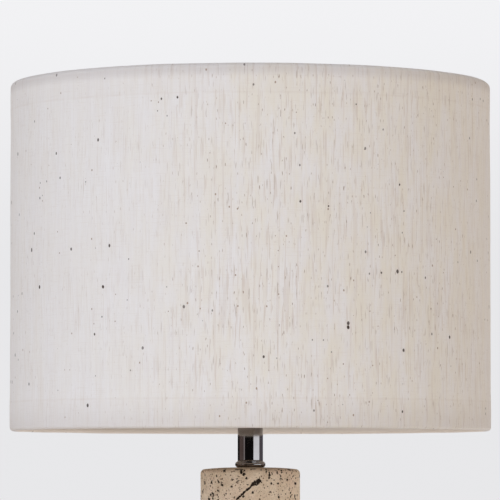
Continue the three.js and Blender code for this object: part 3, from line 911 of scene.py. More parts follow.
def softened(outline: Outline, radius: float, steps: int = 3) -> Outline:
    """Rounds every corner of a closed outline that turns noticeably.

    Args:
        outline: the corners. Points on the axis are kept as they are.
        radius: the rounding, limited by the sides next to the corner.
        steps: points in each rounding, less one.

    Returns:
        The rounded outline.
    """
    rounded: Outline = []
    count = len(outline)
    for index, corner in enumerate(outline):
        before, after = Vector(outline[index - 1]), Vector(outline[(index + 1) % count])
        here = Vector(corner)
        back, ahead = before - here, after - here
        shorter = min(back.length, ahead.length)
        if corner[0] <= 0 or shorter < NO_LENGTH:
            rounded.append(corner)
            continue
        turn = math.pi - back.angle(ahead)
        if turn < LEAST_TURN:
            rounded.append(corner)
            continue
        cut = min(radius * math.tan(turn / 2), shorter * LONGEST_CUT)
        start, end = here + back.normalized() * cut, here + ahead.normalized() * cut
        for step in range(steps + 1):
            share = step / steps
            point = start.lerp(here, share).lerp(here.lerp(end, share), share)
            rounded.append((point.x, point.y))
    return rounded


def bend(start: Point, control: Point, end: Point, steps: int = 10) -> Outline:
    """Returns points of a smooth curve from start to end, pulled towards a control point."""
    a, b, c = Vector(start), Vector(control), Vector(end)
    return [tuple(a.lerp(b, t).lerp(b.lerp(c, t), t)) for t in np.linspace(0, 1, steps + 1)]


def turned(name: str, outline: Outline, segments: int,
           ripple: Ripple | None = None) -> bpy.types.Object:
    """Turns a closed outline of (radius, height) points round the lamp's axis.

    Args:
        name: the object's name.
        outline: the points, outer side upwards. It may start and end on the axis.
        segments: columns round the axis.
        ripple: adds to a point's radius, given its angle, radius and height.

    Returns:
        The object.
    """
    on_axis = outline[0][0] <= 0 and outline[-1][0] <= 0
    points: list[Spot] = []
    rows: list[list[int]] = []
    for radius, height in outline:
        if radius <= 0:
            rows.append([len(points)] * segments)
            points.append((0.0, 0.0, height))
            continue
        rows.append(list(range(len(points), len(points) + segments)))
        for column in range(segments):
            angle = TURN * column / segments
            r = radius + (ripple(angle, radius, height) if ripple else 0.0)
            points.append((r * math.cos(angle), r * math.sin(angle), height))
    if not on_axis:
        rows.append(rows[0])
    faces = []
    for low, high in zip(rows, rows[1:]):
        for column in range(segments):
            following = (column + 1) % segments
            ring = (low[column], low[following], high[following], high[column])
            corners = tuple(dict.fromkeys(ring))
            if len(corners) > 2:
                faces.append(corners)
    return make_object(name, np.array(points), faces)


DRILL_SIDES = 40


def bored(piece: bpy.types.Object, start: Vector, length: float,
          radius: float) -> bpy.types.Object:
    """Bores a round hole along Y.

    Args:
        piece: the closed piece to bore.
        start: the hole's near end, on its axis.
        length: how far it runs towards +Y.
        radius: its radius.

    Returns:
        The same piece, bored.
    """
    route = [start, start + Vector((0, length, 0))]
    drill = wire(piece.name + "_drill", route, radius, DRILL_SIDES)
    cut = piece.modifiers.new("bore", "BOOLEAN")
    cut.operation, cut.object, cut.solver = "DIFFERENCE", drill, "EXACT"
    return applied(piece, drill)


def evaluated(piece: bpy.types.Object) -> bpy.types.Mesh:
    """Returns a new mesh of a piece as its modifiers shape it."""
    graph = bpy.context.evaluated_depsgraph_get()
    return bpy.data.meshes.new_from_object(piece.evaluated_get(graph), depsgraph=graph)


def applied(piece: bpy.types.Object, *spent: bpy.types.Object,
            sharp_angle: float = 32.0) -> bpy.types.Object:
    """Makes a piece's modifiers part of its mesh.

    Args:
        piece: the piece.
        spent: helper objects to remove afterwards.
        sharp_angle: edges that turn by more degrees than this stay sharp.

    Returns:
        The same piece, with no modifiers.
    """
    mesh = evaluated(piece)
    piece.modifiers.clear()
    piece.data = mesh
    mesh.shade_smooth()
    mesh.set_sharp_from_angle(angle=math.radians(sharp_angle))
    for helper in spent:
        bpy.data.objects.remove(helper)
    return piece


def thread(pitch: float, depth: float, bottom: float, top: float, least: float = 0.0) -> Ripple:
    """Makes a ripple that forms a round-bottomed right-hand thread.

    Args:
        pitch: the rise in one turn.
        depth: from crest to root.
        bottom: where the thread starts.
        top: where it ends.
        least: points nearer the axis than this stay as they are.

    Returns:
        The ripple.
    """

    def ripple(angle: float, radius: float, height: float) -> float:
        """Gives the change of radius at one point, with the thread run out at its ends.

        Args:
            angle: round the axis, in radians.
            radius: from the axis.
            height: above the table.

        Returns:
            What to add to the radius.
        """
        if radius < least or not bottom < height < top:
            return 0.0
        run = min((height - bottom) / pitch, (top - height) / pitch, 0.5) * 2
        wave = 0.5 - 0.5 * math.cos(TURN * height / pitch - angle)
        return -depth * wave * run

    return ripple


def upright(radius: float, bottom: float, top: float, pitch: float) -> Outline:
    """Returns a straight wall's points from bottom to top, close enough to carry a thread."""
    count = max(2, round((top - bottom) / pitch * 10))
    return between((radius, bottom), (radius, top), count + 1)


def dense(line: Outline, gap: float) -> Outline:
    """Adds points to a line where they are far apart.

    Args:
        line: the points.
        gap: no two are further apart than this afterwards.

    Returns:
        The fuller line.
    """
    full = [line[0]]
    for before, after in zip(line, line[1:]):
        steps = max(1, math.ceil(math.dist(before, after) / gap))
        full += between(before, after, steps + 1)[1:]
    return full


def wire(name: str, route: Sequence[Vector], radius: float, sides: int,
         swell: float = 0.0) -> bpy.types.Object:
    """Makes a round wire along a route that stays in one upright plane.

    Args:
        name: the object's name.
        route: its centre line.
        radius: the wire's radius.
        sides: points round it.
        swell: how much thicker its two ends are, as on a weld.

    Returns:
        The object, closed at both ends.
    """
    flat = (route[-1] - route[0]).cross(Vector((0, 0, 1))).normalized()
    points: list[Vector] = []
    count = len(route)
    for index, here in enumerate(route):
        before, after = route[max(index - 1, 0)], route[min(index + 1, count - 1)]
        across = (after - before).normalized().cross(flat)
        from_end = min((here - route[0]).length, (route[-1] - here).length)
        thick = radius * (1 + swell * max(0.0, 1 - from_end / (radius * 2)))
        for side in range(sides):
            angle = TURN * side / sides
            points.append(here + (flat * math.cos(angle) + across * math.sin(angle)) * thick)
    faces = []
    for row in range(count - 1):
        for side in range(sides):
            following = (side + 1) % sides
            faces.append((row * sides + side, row * sides + following,
                          (row + 1) * sides + following, (row + 1) * sides + side))
    faces.append(tuple(range(sides))[::-1])
    faces.append(tuple(range((count - 1) * sides, count * sides)))
    return facing_out(make_object(name, np.array(points), faces))


def facing_out(piece: bpy.types.Object) -> bpy.types.Object:
    """Turns a closed mesh the right way round if its volume is negative.

    Args:
        piece: the piece.

    Returns:
        The same piece, with its faces outwards.
    """
    mesh = piece.data
    mesh.calc_loop_triangles()
    points = np.array([vertex.co for vertex in mesh.vertices])
    corners = np.array([triangle.vertices for triangle in mesh.loop_triangles])
    a, b, c = (points[corners[:, index]] for index in range(3))
    if np.einsum("ij,ij->i", a, np.cross(b, c)).sum() < 0:
        mesh.flip_normals()
    return piece


def merged(name: str, *parts: bpy.types.Object) -> bpy.types.Object:
    """Joins several meshes into one piece.

    Args:
        name: the new piece's name.
        parts: the meshes, which are removed.

    Returns:
        The piece.
    """
    points, faces = [], []
    for part in parts:
        start = len(points)
        points += [tuple(vertex.co) for vertex in part.data.vertices]
        faces += [tuple(start + i for i in face.vertices) for face in part.data.polygons]
        bpy.data.objects.remove(part)
    return make_object(name, np.array(points), faces)


def place(piece: bpy.types.Object, finish: Finish, body: Body, *nodes: str) -> bpy.types.Object:
    """Dresses a finished piece, ties it to its body and lets it stand for its CAD nodes.

    Args:
        piece: the piece, at its place in the frame.
        finish: its finish.
        body: the body that it moves with.
        nodes: the CAD nodes that it stands for.

    Returns:
        The piece.
    """
    piece.data.materials.clear()
    piece.data.materials.append(finish.material())
    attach(piece, body.value)
    if nodes:
        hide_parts(*nodes)
    LOG.info("%s: %d faces, %s, on %s", piece.name, len(piece.data.polygons), finish.name,
             body.value)
    return piece


def dress(node: str, finish: Finish) -> None:
    """Gives a CAD node that stays its finish.

    Args:
        node: the node's name.
        finish: its finish.
    """
    piece = frame["nodes"][node]
    piece.data.materials.clear()
    piece.data.materials.append(finish.material())
    LOG.info("%s: kept, %s", node, finish.name)


# ---- Repeated shapes by Geometry Nodes ---------------------------------------------------------


class Pattern:
    """A Geometry Nodes tree that is run with given sizes and leaves a plain mesh."""

    def __init__(self, name: str, **inputs: int | float) -> None:
        """Makes the tree with its inputs.

        Args:
            name: the tree's name.
            inputs: each input's default, a whole number where it is a count.
        """
        self.tree = bpy.data.node_groups.new(name, "GeometryNodeTree")
        self.ids: dict[str, str] = {}
        for key, default in inputs.items():
            kind = "NodeSocketInt" if isinstance(default, int) else "NodeSocketFloat"
            self.socket(key, kind).default_value = default
        self.socket("Finish", "NodeSocketMaterial")
        self.tree.interface.new_socket(
            "Geometry", in_out="OUTPUT", socket_type="NodeSocketGeometry"
        )
        self.graph = Graph(self.tree)
        self.inputs = self.tree.nodes.new("NodeGroupInput").outputs

    def socket(self, key: str, kind: str) -> bpy.types.NodeTreeInterfaceSocket:
        """Adds an input and notes its identifier.

        Args:
            key: the input's name.
            kind: its socket's type name.

        Returns:
            The input.
        """
        socket = self.tree.interface.new_socket(key, in_out="INPUT", socket_type=kind)
        self.ids[key] = socket.identifier
        return socket

    def end(self, geometry: bpy.types.NodeSocket) -> None:
        """Ends the tree: instances made real, then the finish.

        Args:
            geometry: what the tree has made.
        """
        real = self.graph.add("GeometryNodeRealizeInstances", Geometry=geometry).outputs[0]
        dressed = self.graph.add("GeometryNodeSetMaterial", Geometry=real,
                                 Material=self.inputs["Finish"]).outputs[0]
        self.graph.feed(self.tree.nodes.new("NodeGroupOutput").inputs["Geometry"], dressed)

    def run(self, name: str, finish: Finish, **values: object) -> bpy.types.Object:
        """Runs the tree once.

        Args:
            name: the new object's name.
            finish: the finish of what it makes.
            values: its inputs by name.

        Returns:
            A plain mesh object with no modifier.
        """
        holder = in_scene(name + "_pattern", bpy.data.meshes.new(name + "_pattern"))
        modifier = holder.modifiers.new("pattern", "NODES")
        modifier.node_group = self.tree
        modifier[self.ids["Finish"]] = finish.material()
        for key, value in values.items():
            modifier[self.ids[key]] = value
        mesh = evaluated(holder)
        bpy.data.objects.remove(holder)
        return in_scene(name, mesh)


def studs_pattern() -> Pattern:
    """Makes small bars set round a circle: grips on a ring, ribs on a collar, chips on a board.

    Returns:
        The pattern.
    """
    pattern = Pattern("studs", Count=24, Circle=0.02, Height=0.0, Radius=0.001, Length=0.004,
                      Sides=10)
    g, given = pattern.graph, pattern.inputs
    bar = g.add("GeometryNodeMeshCylinder", Vertices=given["Sides"], Radius=given["Radius"],
                Depth=given["Length"]).outputs["Mesh"]
    circle = g.add("GeometryNodeMeshCircle", Vertices=given["Count"],
                   Radius=given["Circle"]).outputs["Mesh"]
    share = g.math("DIVIDE", g.add("GeometryNodeInputIndex").outputs[0], given["Count"])
    spin = g.joined(0.0, 0.0, g.math("MULTIPLY", share, TURN))
    spun = g.add("FunctionNodeEulerToRotation", Euler=spin).outputs[0]
    placed = g.add("GeometryNodeInstanceOnPoints", Points=circle, Instance=bar,
                   Rotation=spun).outputs[0]
    lift = g.joined(0.0, 0.0, given["Height"])
    pattern.end(g.add("GeometryNodeTransform", Geometry=placed, Translation=lift).outputs[0])
    return pattern


def helix_pattern() -> Pattern:
    """Makes a thread's ridge: a small section carried up a helix.

    Returns:
        The pattern.
    """
    pattern = Pattern("helix", Radius=0.005, Bottom=0.0, Pitch=0.001, Turns=10.0, Ridge=0.0004,
                      Steps=32)
    g, given = pattern.graph, pattern.inputs
    rise = g.math("MULTIPLY", given["Pitch"], given["Turns"])
    spiral = g.add("GeometryNodeCurveSpiral", Resolution=given["Steps"],
                   Rotations=given["Turns"], Start_Radius=given["Radius"],
                   End_Radius=given["Radius"], Height=rise).outputs[0]
    ridge_section = g.add("GeometryNodeCurvePrimitiveCircle", Resolution=5,
                          Radius=given["Ridge"]).outputs[0]
    ridge = g.add("GeometryNodeCurveToMesh", Curve=spiral, Profile_Curve=ridge_section,
                  Fill_Caps=True).outputs[0]
    lift = g.joined(0.0, 0.0, given["Bottom"])
    pattern.end(g.add("GeometryNodeTransform", Geometry=ridge, Translation=lift).outputs[0])
    return pattern


# ---- Stand -----------------------------------------------------------------------------------


@dataclass
class StoneStand:
    """The cast foot and column, with the felt, the gland and the fixings under them."""

    bore: float = 0.0065
    foot_round: float = 0.006
    column_round: float = 0.0030
    dome: float = 0.0010
    lower_round: float = 0.0015
    collar_room: float = 0.0004
    recess: float = 0.023
    recess_depth: float = 0.014
    lead_way_start: float = 0.0161
    gland_seat: float = 0.0736
    gland_axis: float = 0.0085
    gland_hole: float = 0.005
    gland_face: float = 0.0075
    gland_bore: float = 0.0035
    gland_sleeve: float = 0.0047
    gland_lip: float = 0.0012
    gland_rib: float = 0.0004
    gland_ribs: int = 20
    rib_height: float = 0.0009
    rib_length: float = 0.0014
    rod_wall: float = 0.001
    rod_pitch: float = 0.001
    rod_ridge: float = 0.00022
    rod_margin: float = 0.0004
    rod_edge: float = 0.0002
    thread_turns: float = 14.0
    unevenness: float = 0.00016
    broad_waves: float = 55.0
    fine_waves: float = 190.0
    foot: Span = Span.of("base_foot")
    column: Span = Span.of("base_column")
    pad: Span = Span.of("foot_pad")
    rod: Span = Span.of("threaded_tube")

    def build(self, studs: Pattern, helix: Pattern) -> None:
        """Builds every piece of the stand.

        Args:
            studs: sets bars round a circle.
            helix: makes a thread's ridge.
        """
        place(self.column_piece(), STONE, Body.STAND, "base_column")
        place(self.foot_piece(), STONE, Body.STAND, "base_foot")
        pad = place(self.pad_piece(), FELT, Body.STAND, "foot_pad")
        place(self.gland_piece(studs), BLACK, Body.STAND, "cable_gland")
        for node in ("bottom_washer", "bottom_lock_washer", "bottom_nut"):
            dress(node, ZINC)
        place(self.rod_piece(helix), ZINC, Body.STAND, "threaded_tube")

    def waver(self, angle: float, radius: float, height: float) -> float:
        """Gives the slight unevenness that casting leaves, at one point.

        Args:
            angle: round the axis, in radians.
            radius: from the axis.
            height: above the table.

        Returns:
            What to add to the radius.
        """
        if radius < self.bore * 1.5:
            return 0.0
        spot = Vector((math.cos(angle) * radius, math.sin(angle) * radius, height))
        broad, fine = noise.noise(spot * self.broad_waves), noise.noise(spot * self.fine_waves)
        return self.unevenness * (broad + 0.5 * fine)

    def column_piece(self) -> bpy.types.Object:
        """Makes the column: rounded edges, a slightly domed top, and the tube's bore.

        Returns:
            The column.
        """
        c, low, high = self.column, self.lower_round, self.column_round
        edge, flat = c.top - self.dome, Span.of("neck_collar").radius + self.collar_room
        outline = [(self.bore, c.bottom)]
        outline += arc((c.radius - low, c.bottom + low), low, -90, 0, 5)
        outline += between((c.radius, c.bottom + low), (c.radius, edge - high), 90)[1:-1]
        outline += arc((c.radius - high, edge - high), high, 0, 84, 10)
        outline += bend(outline[-1], ((flat + c.radius - high) / 2, c.top), (flat, c.top), 8)[1:]
        outline += between((flat, c.top), (self.bore, c.top), 4)[1:]
        return turned("stone_column", outline, 144, self.waver)

    def foot_piece(self) -> bpy.types.Object:
        """Makes the foot, with its hollow below, the way out for a lead and the gland's seat.

        Returns:
            The foot.
        """
        f, low, high = self.foot, self.lower_round, self.foot_round
        ceiling = f.bottom + self.recess_depth
        outline = between((self.recess, f.bottom), (f.radius - low, f.bottom), 6)[:-1]
        outline += arc((f.radius - low, f.bottom + low), low, -90, 0, 5)
        outline += between((f.radius, f.bottom + low), (f.radius, f.top - high), 14)[1:-1]
        outline += arc((f.radius - high, f.top - high), high, 0, 90, 14)
        outline += between((f.radius - high, f.top), (self.bore, f.top), 12)[1:]
        outline += [(self.bore, ceiling), (self.recess, ceiling)]
        piece = turned("stone_foot", outline, 180, self.waver)
        axis = f.bottom + self.gland_axis
        for near, radius in ((self.lead_way_start, self.gland_hole),
                             (self.gland_seat, self.gland_face)):
            bored(piece, Vector((0, near, axis)), f.radius, radius)
        return piece

    def gland_piece(self, studs: Pattern) -> bpy.types.Object:
        """Makes the gland: a ribbed flange on a sleeve, laid towards the rear.

        Args:
            studs: sets bars round a circle.

        Returns:
            The gland.
        """
        low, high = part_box("cable_gland")
        face, back, rib, lip = high[1], low[1], self.gland_rib, self.gland_lip
        rim = (high[0] - low[0]) / 2 - rib
        outline = [(self.gland_bore, back), (self.gland_sleeve, back),
                   (self.gland_sleeve, self.gland_seat), (rim, self.gland_seat),
                   *arc((rim - lip, face - lip), lip, 0, 90, 6),
                   *arc((self.gland_bore + lip, face - lip), lip, 90, 180, 5)]
        body = turned("gland_body", outline, 64)
        ribs = studs.run("gland_ribs", BLACK, Count=self.gland_ribs, Circle=rim,
                         Height=self.gland_seat + self.rib_height, Radius=rib,
                         Length=self.rib_length, Sides=6)
        piece = merged("ribbed_gland", body, ribs)
        lay = Matrix.Translation((0, 0, (low[2] + high[2]) / 2)) @ Matrix.Rotation(
            -math.pi / 2, 4, "X")
        piece.data.transform(lay)
        return piece

    def rod_piece(self, helix: Pattern) -> bpy.types.Object:
        """Makes the threaded tube, with its thread's ridge where each end shows.

        Args:
            helix: makes a thread's ridge.

        Returns:
            The threaded tube.
        """
        s, ridge = self.rod, self.rod_ridge
        outer = s.radius - ridge
        corners = section(s.radius - self.rod_wall, outer, s.bottom, s.top)
        tube = turned("rod_tube", softened(corners, self.rod_edge), 48)
        run = self.thread_turns * self.rod_pitch
        starts = (s.bottom + self.rod_margin, s.top - run - self.rod_margin)
        ends = [helix.run(f"rod_thread_{index}", ZINC, Radius=outer, Bottom=start,
                          Pitch=self.rod_pitch, Turns=self.thread_turns, Ridge=ridge)
                for index, start in enumerate(starts)]
        return merged("threaded_rod", tube, *ends)

    def pad_piece(self) -> bpy.types.Object:
        """Makes the felt pad, with soft edges.

        Returns:
            The pad.
        """
        p = self.pad
        edge = p.height / 2
        outline = [(0.0, p.bottom), *arc((p.radius - edge, p.middle), edge, -90, 90, 8),
                   (0.0, p.top)]
        return turned("felt_pad", outline, 120)


@dataclass
class Neck:
    """The polished tube and its collar, between the column and the lampholder."""

    wall: float = 0.001
    edge: float = 0.0004
    bore: float = 0.0053
    bead: float = 0.0019
    spigot_wall: float = 0.0009
    sweep_power: float = 1.8
    tube: Span = Span.of("neck_tube")
    collar: Span = Span.of("neck_collar")
    column_top: float = Span.of("base_column").top

    def build(self) -> None:
        """Builds the tube and the collar."""
        place(self.tube_piece(), CHROME, Body.STAND, "neck_tube")
        place(self.collar_piece(), CHROME, Body.STAND, "neck_collar")

    def tube_piece(self) -> bpy.types.Object:
        """Makes the tube, open at both ends.

        Returns:
            The tube.
        """
        t = self.tube
        corners = section(t.radius - self.wall, t.radius, t.bottom, t.top)
        return turned("polished_neck", softened(corners, self.edge, 4), 128)

    def collar_piece(self) -> bpy.types.Object:
        """Makes the collar: a round bead that sweeps up to the tube, and a hidden spigot.

        Returns:
            The collar.
        """
        c, seat, spigot = self.collar, self.column_top, self.bore + self.spigot_wall
        side = arc((c.radius - self.bead, seat + self.bead), self.bead, -82, 62, 16)
        foot, end = side[0], side[-1]
        sweep = [(end[0] + (self.tube.radius - end[0]) * share,
                  end[1] + (c.top - end[1]) * share ** self.sweep_power)
                 for share in np.linspace(0, 1, 9)][1:]
        outline = [(self.bore, c.bottom), (spigot, c.bottom), (spigot, seat), (foot[0], seat),
                   *side, *sweep, (self.bore, c.top)]
        return turned("collar_bead", outline, 128)


# ---- Lampholder and bulb ---------------------------------------------------------------------


@dataclass
class Lampholder:
    """The screw lampholder: its cap and skirt, what they hold, and the rings that clamp the shade."""

    wall: float = 0.0019
    rod_hole: float = 0.0053
    boss_radius: float = 0.0100
    boss_height: float = 0.006
    flare_height: float = 0.015
    cap_floor: float = 0.0095
    hollow_top: float = 0.0137
    groove_drop: float = 0.0022
    groove_half: float = 0.0004
    screw_height: float = 0.0035
    screw_hole: float = 0.0023
    screw_start: float = 0.006
    screw_length: float = 0.008
    clearance: float = 0.0003
    lead_in: float = 0.0004
    skirt_bevel: float = 0.001
    shade_thread: float = 0.0022
    shade_thread_depth: float = 0.00045
    thread_start: float = 0.0018
    thread_stop: float = 0.0014
    bulb_thread: float = 0.003629
    bulb_thread_depth: float = 0.0002
    shell_rim: float = 0.001
    shell_wall: float = 0.0003
    grips: int = 24
    grip: float = 0.0009
    grip_margin: float = 0.0012
    cap_edge: float = 0.0005
    ring_edge: float = 0.0006
    cap: Span = Span.of("holder_cap")
    skirt: Span = Span.of("holder_skirt")
    shell: Span = Span.of("screw_shell")

    def build(self, studs: Pattern) -> None:
        """Builds the holder's pieces.

        Args:
            studs: sets bars round a circle.
        """
        place(self.cap_piece(), BLACK, Body.STAND, "holder_cap")
        place(self.skirt_piece(), BLACK, Body.STAND, "holder_skirt")
        place(self.shell_piece(), BRASS, Body.STAND, "screw_shell")
        for node, body in (("lower_shade_ring", Body.STAND), ("upper_shade_ring", Body.UPPER_RING)):
            place(self.ring_piece(node, studs), BLACK, body, node)
        dress("holder_insert", WHITE)
        dress("holder_lock_screw", ZINC)
        for node in ("terminal_screw_1", "terminal_screw_2", "centre_contact"):
            dress(node, BRASS)

    def cap_piece(self) -> bpy.types.Object:
        """Makes the cap: a boss that flares into a cup, with a hole for its locking screw.

        Returns:
            The cap.
        """
        c, base, boss, half = self.cap, self.cap.bottom, self.boss_radius, self.groove_half
        cup, floor, groove = c.radius - self.wall, base + self.cap_floor, c.top - self.groove_drop
        flare = bend((boss, base + self.boss_height),
                     (c.radius, base + self.boss_height + self.wall),
                     (c.radius, base + self.flare_height))
        hollow = bend((cup, base + self.hollow_top), (cup, floor), (boss, floor))
        outline = [(self.rod_hole, base), (boss, base), *flare, (c.radius, groove - half),
                   (c.radius - half, groove), (c.radius, groove + half), (c.radius, c.top),
                   (cup, c.top), *hollow, (self.rod_hole, floor)]
        piece = turned("holder_cup", softened(outline, self.cap_edge), 96)
        start = Vector((0, self.screw_start, base + self.screw_height))
        return bored(piece, start, self.screw_length, self.screw_hole)

    def skirt_piece(self) -> bpy.types.Object:
        """Makes the skirt, threaded outside for the shade rings.

        Returns:
            The skirt.
        """
        k, lead, bevel = self.skirt, self.lead_in, self.skirt_bevel
        cup, step = k.radius - self.wall, self.shell.bottom
        throat = self.shell.radius + self.clearance
        outside = upright(k.radius, k.bottom + lead, k.top - bevel, self.shade_thread)
        outline = [(cup, k.bottom), (k.radius - lead, k.bottom), *outside,
                   (k.radius - bevel, k.top), (throat, k.top), (throat, step), (cup, step)]
        ripple = thread(self.shade_thread, self.shade_thread_depth, k.bottom + self.thread_start,
                        k.top - self.thread_stop, k.radius - lead / 2)
        return turned("threaded_skirt", outline, 80, ripple)

    def shell_piece(self) -> bpy.types.Object:
        """Makes the screw shell, rolled from sheet so that both its faces carry the thread.

        Returns:
            The shell.
        """
        s, rim = self.shell, self.shell_rim
        outer = upright(s.radius, s.bottom, s.top, self.bulb_thread)
        inner = [(r - self.shell_wall, z) for r, z in reversed(outer)]
        ripple = thread(self.bulb_thread, self.bulb_thread_depth, s.bottom + rim, s.top - rim)
        return turned("rolled_shell", [*outer, *inner], 72, ripple)

    def ring_piece(self, node: str, studs: Pattern) -> bpy.types.Object:
        """Makes a shade ring with grips round its rim.

        Args:
            node: the CAD node that it stands for.
            studs: sets bars round a circle.

        Returns:
            The ring.
        """
        s = Span.of(node)
        rim = s.radius - self.grip
        corners = section(self.skirt.radius + self.clearance, rim, s.bottom, s.top)
        ring = turned(node + "_rim", softened(corners, self.ring_edge), 96)
        bars = studs.run(node + "_grips", BLACK, Count=self.grips, Circle=rim, Height=s.middle,
                         Radius=self.grip, Length=s.height - self.grip_margin)
        return merged(node + "_gripped", ring, bars)


@dataclass
class Bulb:
    """The LED bulb: contact, glass, threaded cap, plastic body, boards and opal globe."""

    thread_pitch: float = 0.003629
    thread_depth: float = 0.0007
    cap_wall: float = 0.0005
    plug_depth: float = 0.0095
    glass_foot: float = 0.82
    glass_rise: float = 0.0025
    glass_edge: float = 0.0006
    cap_mouth: float = 0.81
    cap_shoulder: float = 0.002
    cap_rim: float = 0.0035
    clearance: float = 0.0003
    body_wall: float = 0.0015
    body_curve: float = 0.4
    body_edge: float = 0.0005
    board_ledge: float = 0.002
    board_edge: float = 0.0002
    chips: int = 14
    chip_circle: float = 0.72
    chip_radius: float = 0.0016
    chip_height: float = 0.0007
    contact: Span = Span.of("bulb_contact")
    glass: Span = Span.of("bulb_insulator")
    cap: Span = Span.of("bulb_cap")
    body: Span = Span.of("bulb_body")
    board: Span = Span.of("led_board")
    globe: Span = Span.of("bulb_diffuser")

    def build(self, studs: Pattern) -> None:
        """Builds the bulb's pieces.

        Args:
            studs: sets bars round a circle.
        """
        place(self.contact_piece(), NICKEL, Body.BULB_CARRIER, "bulb_contact")
        place(self.glass_piece(), DARK_GLASS, Body.BULB, "bulb_insulator")
        place(self.cap_piece(), NICKEL, Body.BULB, "bulb_cap")
        place(self.body_piece(), WHITE, Body.BULB, "bulb_body")
        place(self.board_piece(), BOARD_WHITE, Body.BULB, "led_board")
        place(self.chips_piece(studs), PHOSPHOR, Body.BULB)
        place(self.globe_piece(), OPAL, Body.BULB, "bulb_diffuser")
        dress("driver_board", LAMINATE)

    def contact_piece(self) -> bpy.types.Object:
        """Makes the centre contact: a flattened dome of solder.

        Returns:
            The contact.
        """
        c = self.contact
        dome = [(c.radius * math.sin(a), c.top - c.height * math.cos(a))
                for a in np.linspace(0, math.pi / 2, 9)]
        return turned("solder_dome", [*dome, (0.0, c.top)], 40)

    def glass_piece(self) -> bpy.types.Object:
        """Makes the dark glass between the contact and the cap.

        Returns:
            The glass.
        """
        n, low = self.glass, self.cap.bottom
        outline = [(0.0, n.bottom), (self.contact.radius, n.bottom),
                   (n.radius * self.glass_foot, low), (n.radius, low + self.glass_rise),
                   (n.radius, n.top), (0.0, n.top)]
        return turned("glass_bead", softened(outline, self.glass_edge), 64)

    def cap_piece(self) -> bpy.types.Object:
        """Makes the cap, rolled from sheet with its thread.

        Returns:
            The cap.
        """
        c, wall = self.cap, self.cap_wall
        mouth, shoulder = c.radius * self.cap_mouth, c.bottom + self.cap_shoulder
        outside = upright(c.radius, shoulder, c.top - self.clearance, self.thread_pitch)
        inside = [(r - wall, z) for r, z in reversed(outside)]
        outline = [(mouth, c.bottom), (mouth + wall, c.bottom), *outside, (c.radius, c.top),
                   (c.radius - wall, c.top), *inside]
        ripple = thread(self.thread_pitch, self.thread_depth, shoulder, c.top - self.cap_rim,
                        mouth + 2 * wall)
        return turned("rolled_cap", outline, 72, ripple)

    def body_piece(self) -> bpy.types.Object:
        """Makes the plastic body: a plug in the cap, and a shell that widens to the globe.

        Returns:
            The body.
        """
        b, plug = self.body, self.cap.radius - self.cap_wall - self.clearance
        shoulder, low = self.cap.top + self.clearance, self.cap.top - self.plug_depth
        curve = (b.top - shoulder) * self.body_curve
        lean = curve * (self.globe.top - self.globe.radius - b.top) / b.radius
        outside = bend((self.cap.radius + self.cap_wall, shoulder), (b.radius - lean, b.top - curve),
                       (b.radius, b.top), 20)
        seat, pocket = self.board.bottom, self.board.radius + self.clearance
        throat, ledge = plug - self.body_wall, pocket - self.board_ledge
        inside = bend((ledge, seat), (throat, seat - curve), (throat, shoulder), 12)
        outline = [(throat, low), (plug, low), (plug, shoulder), *outside, (pocket, b.top),
                   (pocket, seat), *inside]
        return turned("bulb_shell", softened(outline, self.body_edge), 112)

    def board_piece(self) -> bpy.types.Object:
        """Returns the LED board's disc."""
        corners = section(0.0, self.board.radius, self.board.bottom, self.board.top)
        return turned("board_disc", softened(corners, self.board_edge), 80)

    def chips_piece(self, studs: Pattern) -> bpy.types.Object:
        """Makes the LED chips, in a circle on the board.

        Args:
            studs: sets bars round a circle.

        Returns:
            The chips.
        """
        return studs.run("board_chips", PHOSPHOR, Count=self.chips,
                         Circle=self.board.radius * self.chip_circle,
                         Height=self.board.top + self.clearance, Radius=self.chip_radius,
                         Length=self.chip_height, Sides=4)

    def globe_piece(self) -> bpy.types.Object:
        """Makes the opal globe, open at the body's rim.

        Returns:
            The globe.
        """
        o, wall = self.globe, self.body_wall
        centre = (0.0, o.top - o.radius)
        drop = math.degrees(math.asin((centre[1] - o.bottom) / o.radius))
        outside = arc(centre, o.radius, -drop, 90, 40)
        inside = arc(centre, o.radius - wall, 90, -drop, 40)
        outside[-1], inside[0] = (0.0, o.top), (0.0, o.top - wall)
        return turned("opal_globe_shell", [*outside, *inside], 112)


# ---- Shade -----------------------------------------------------------------------------------


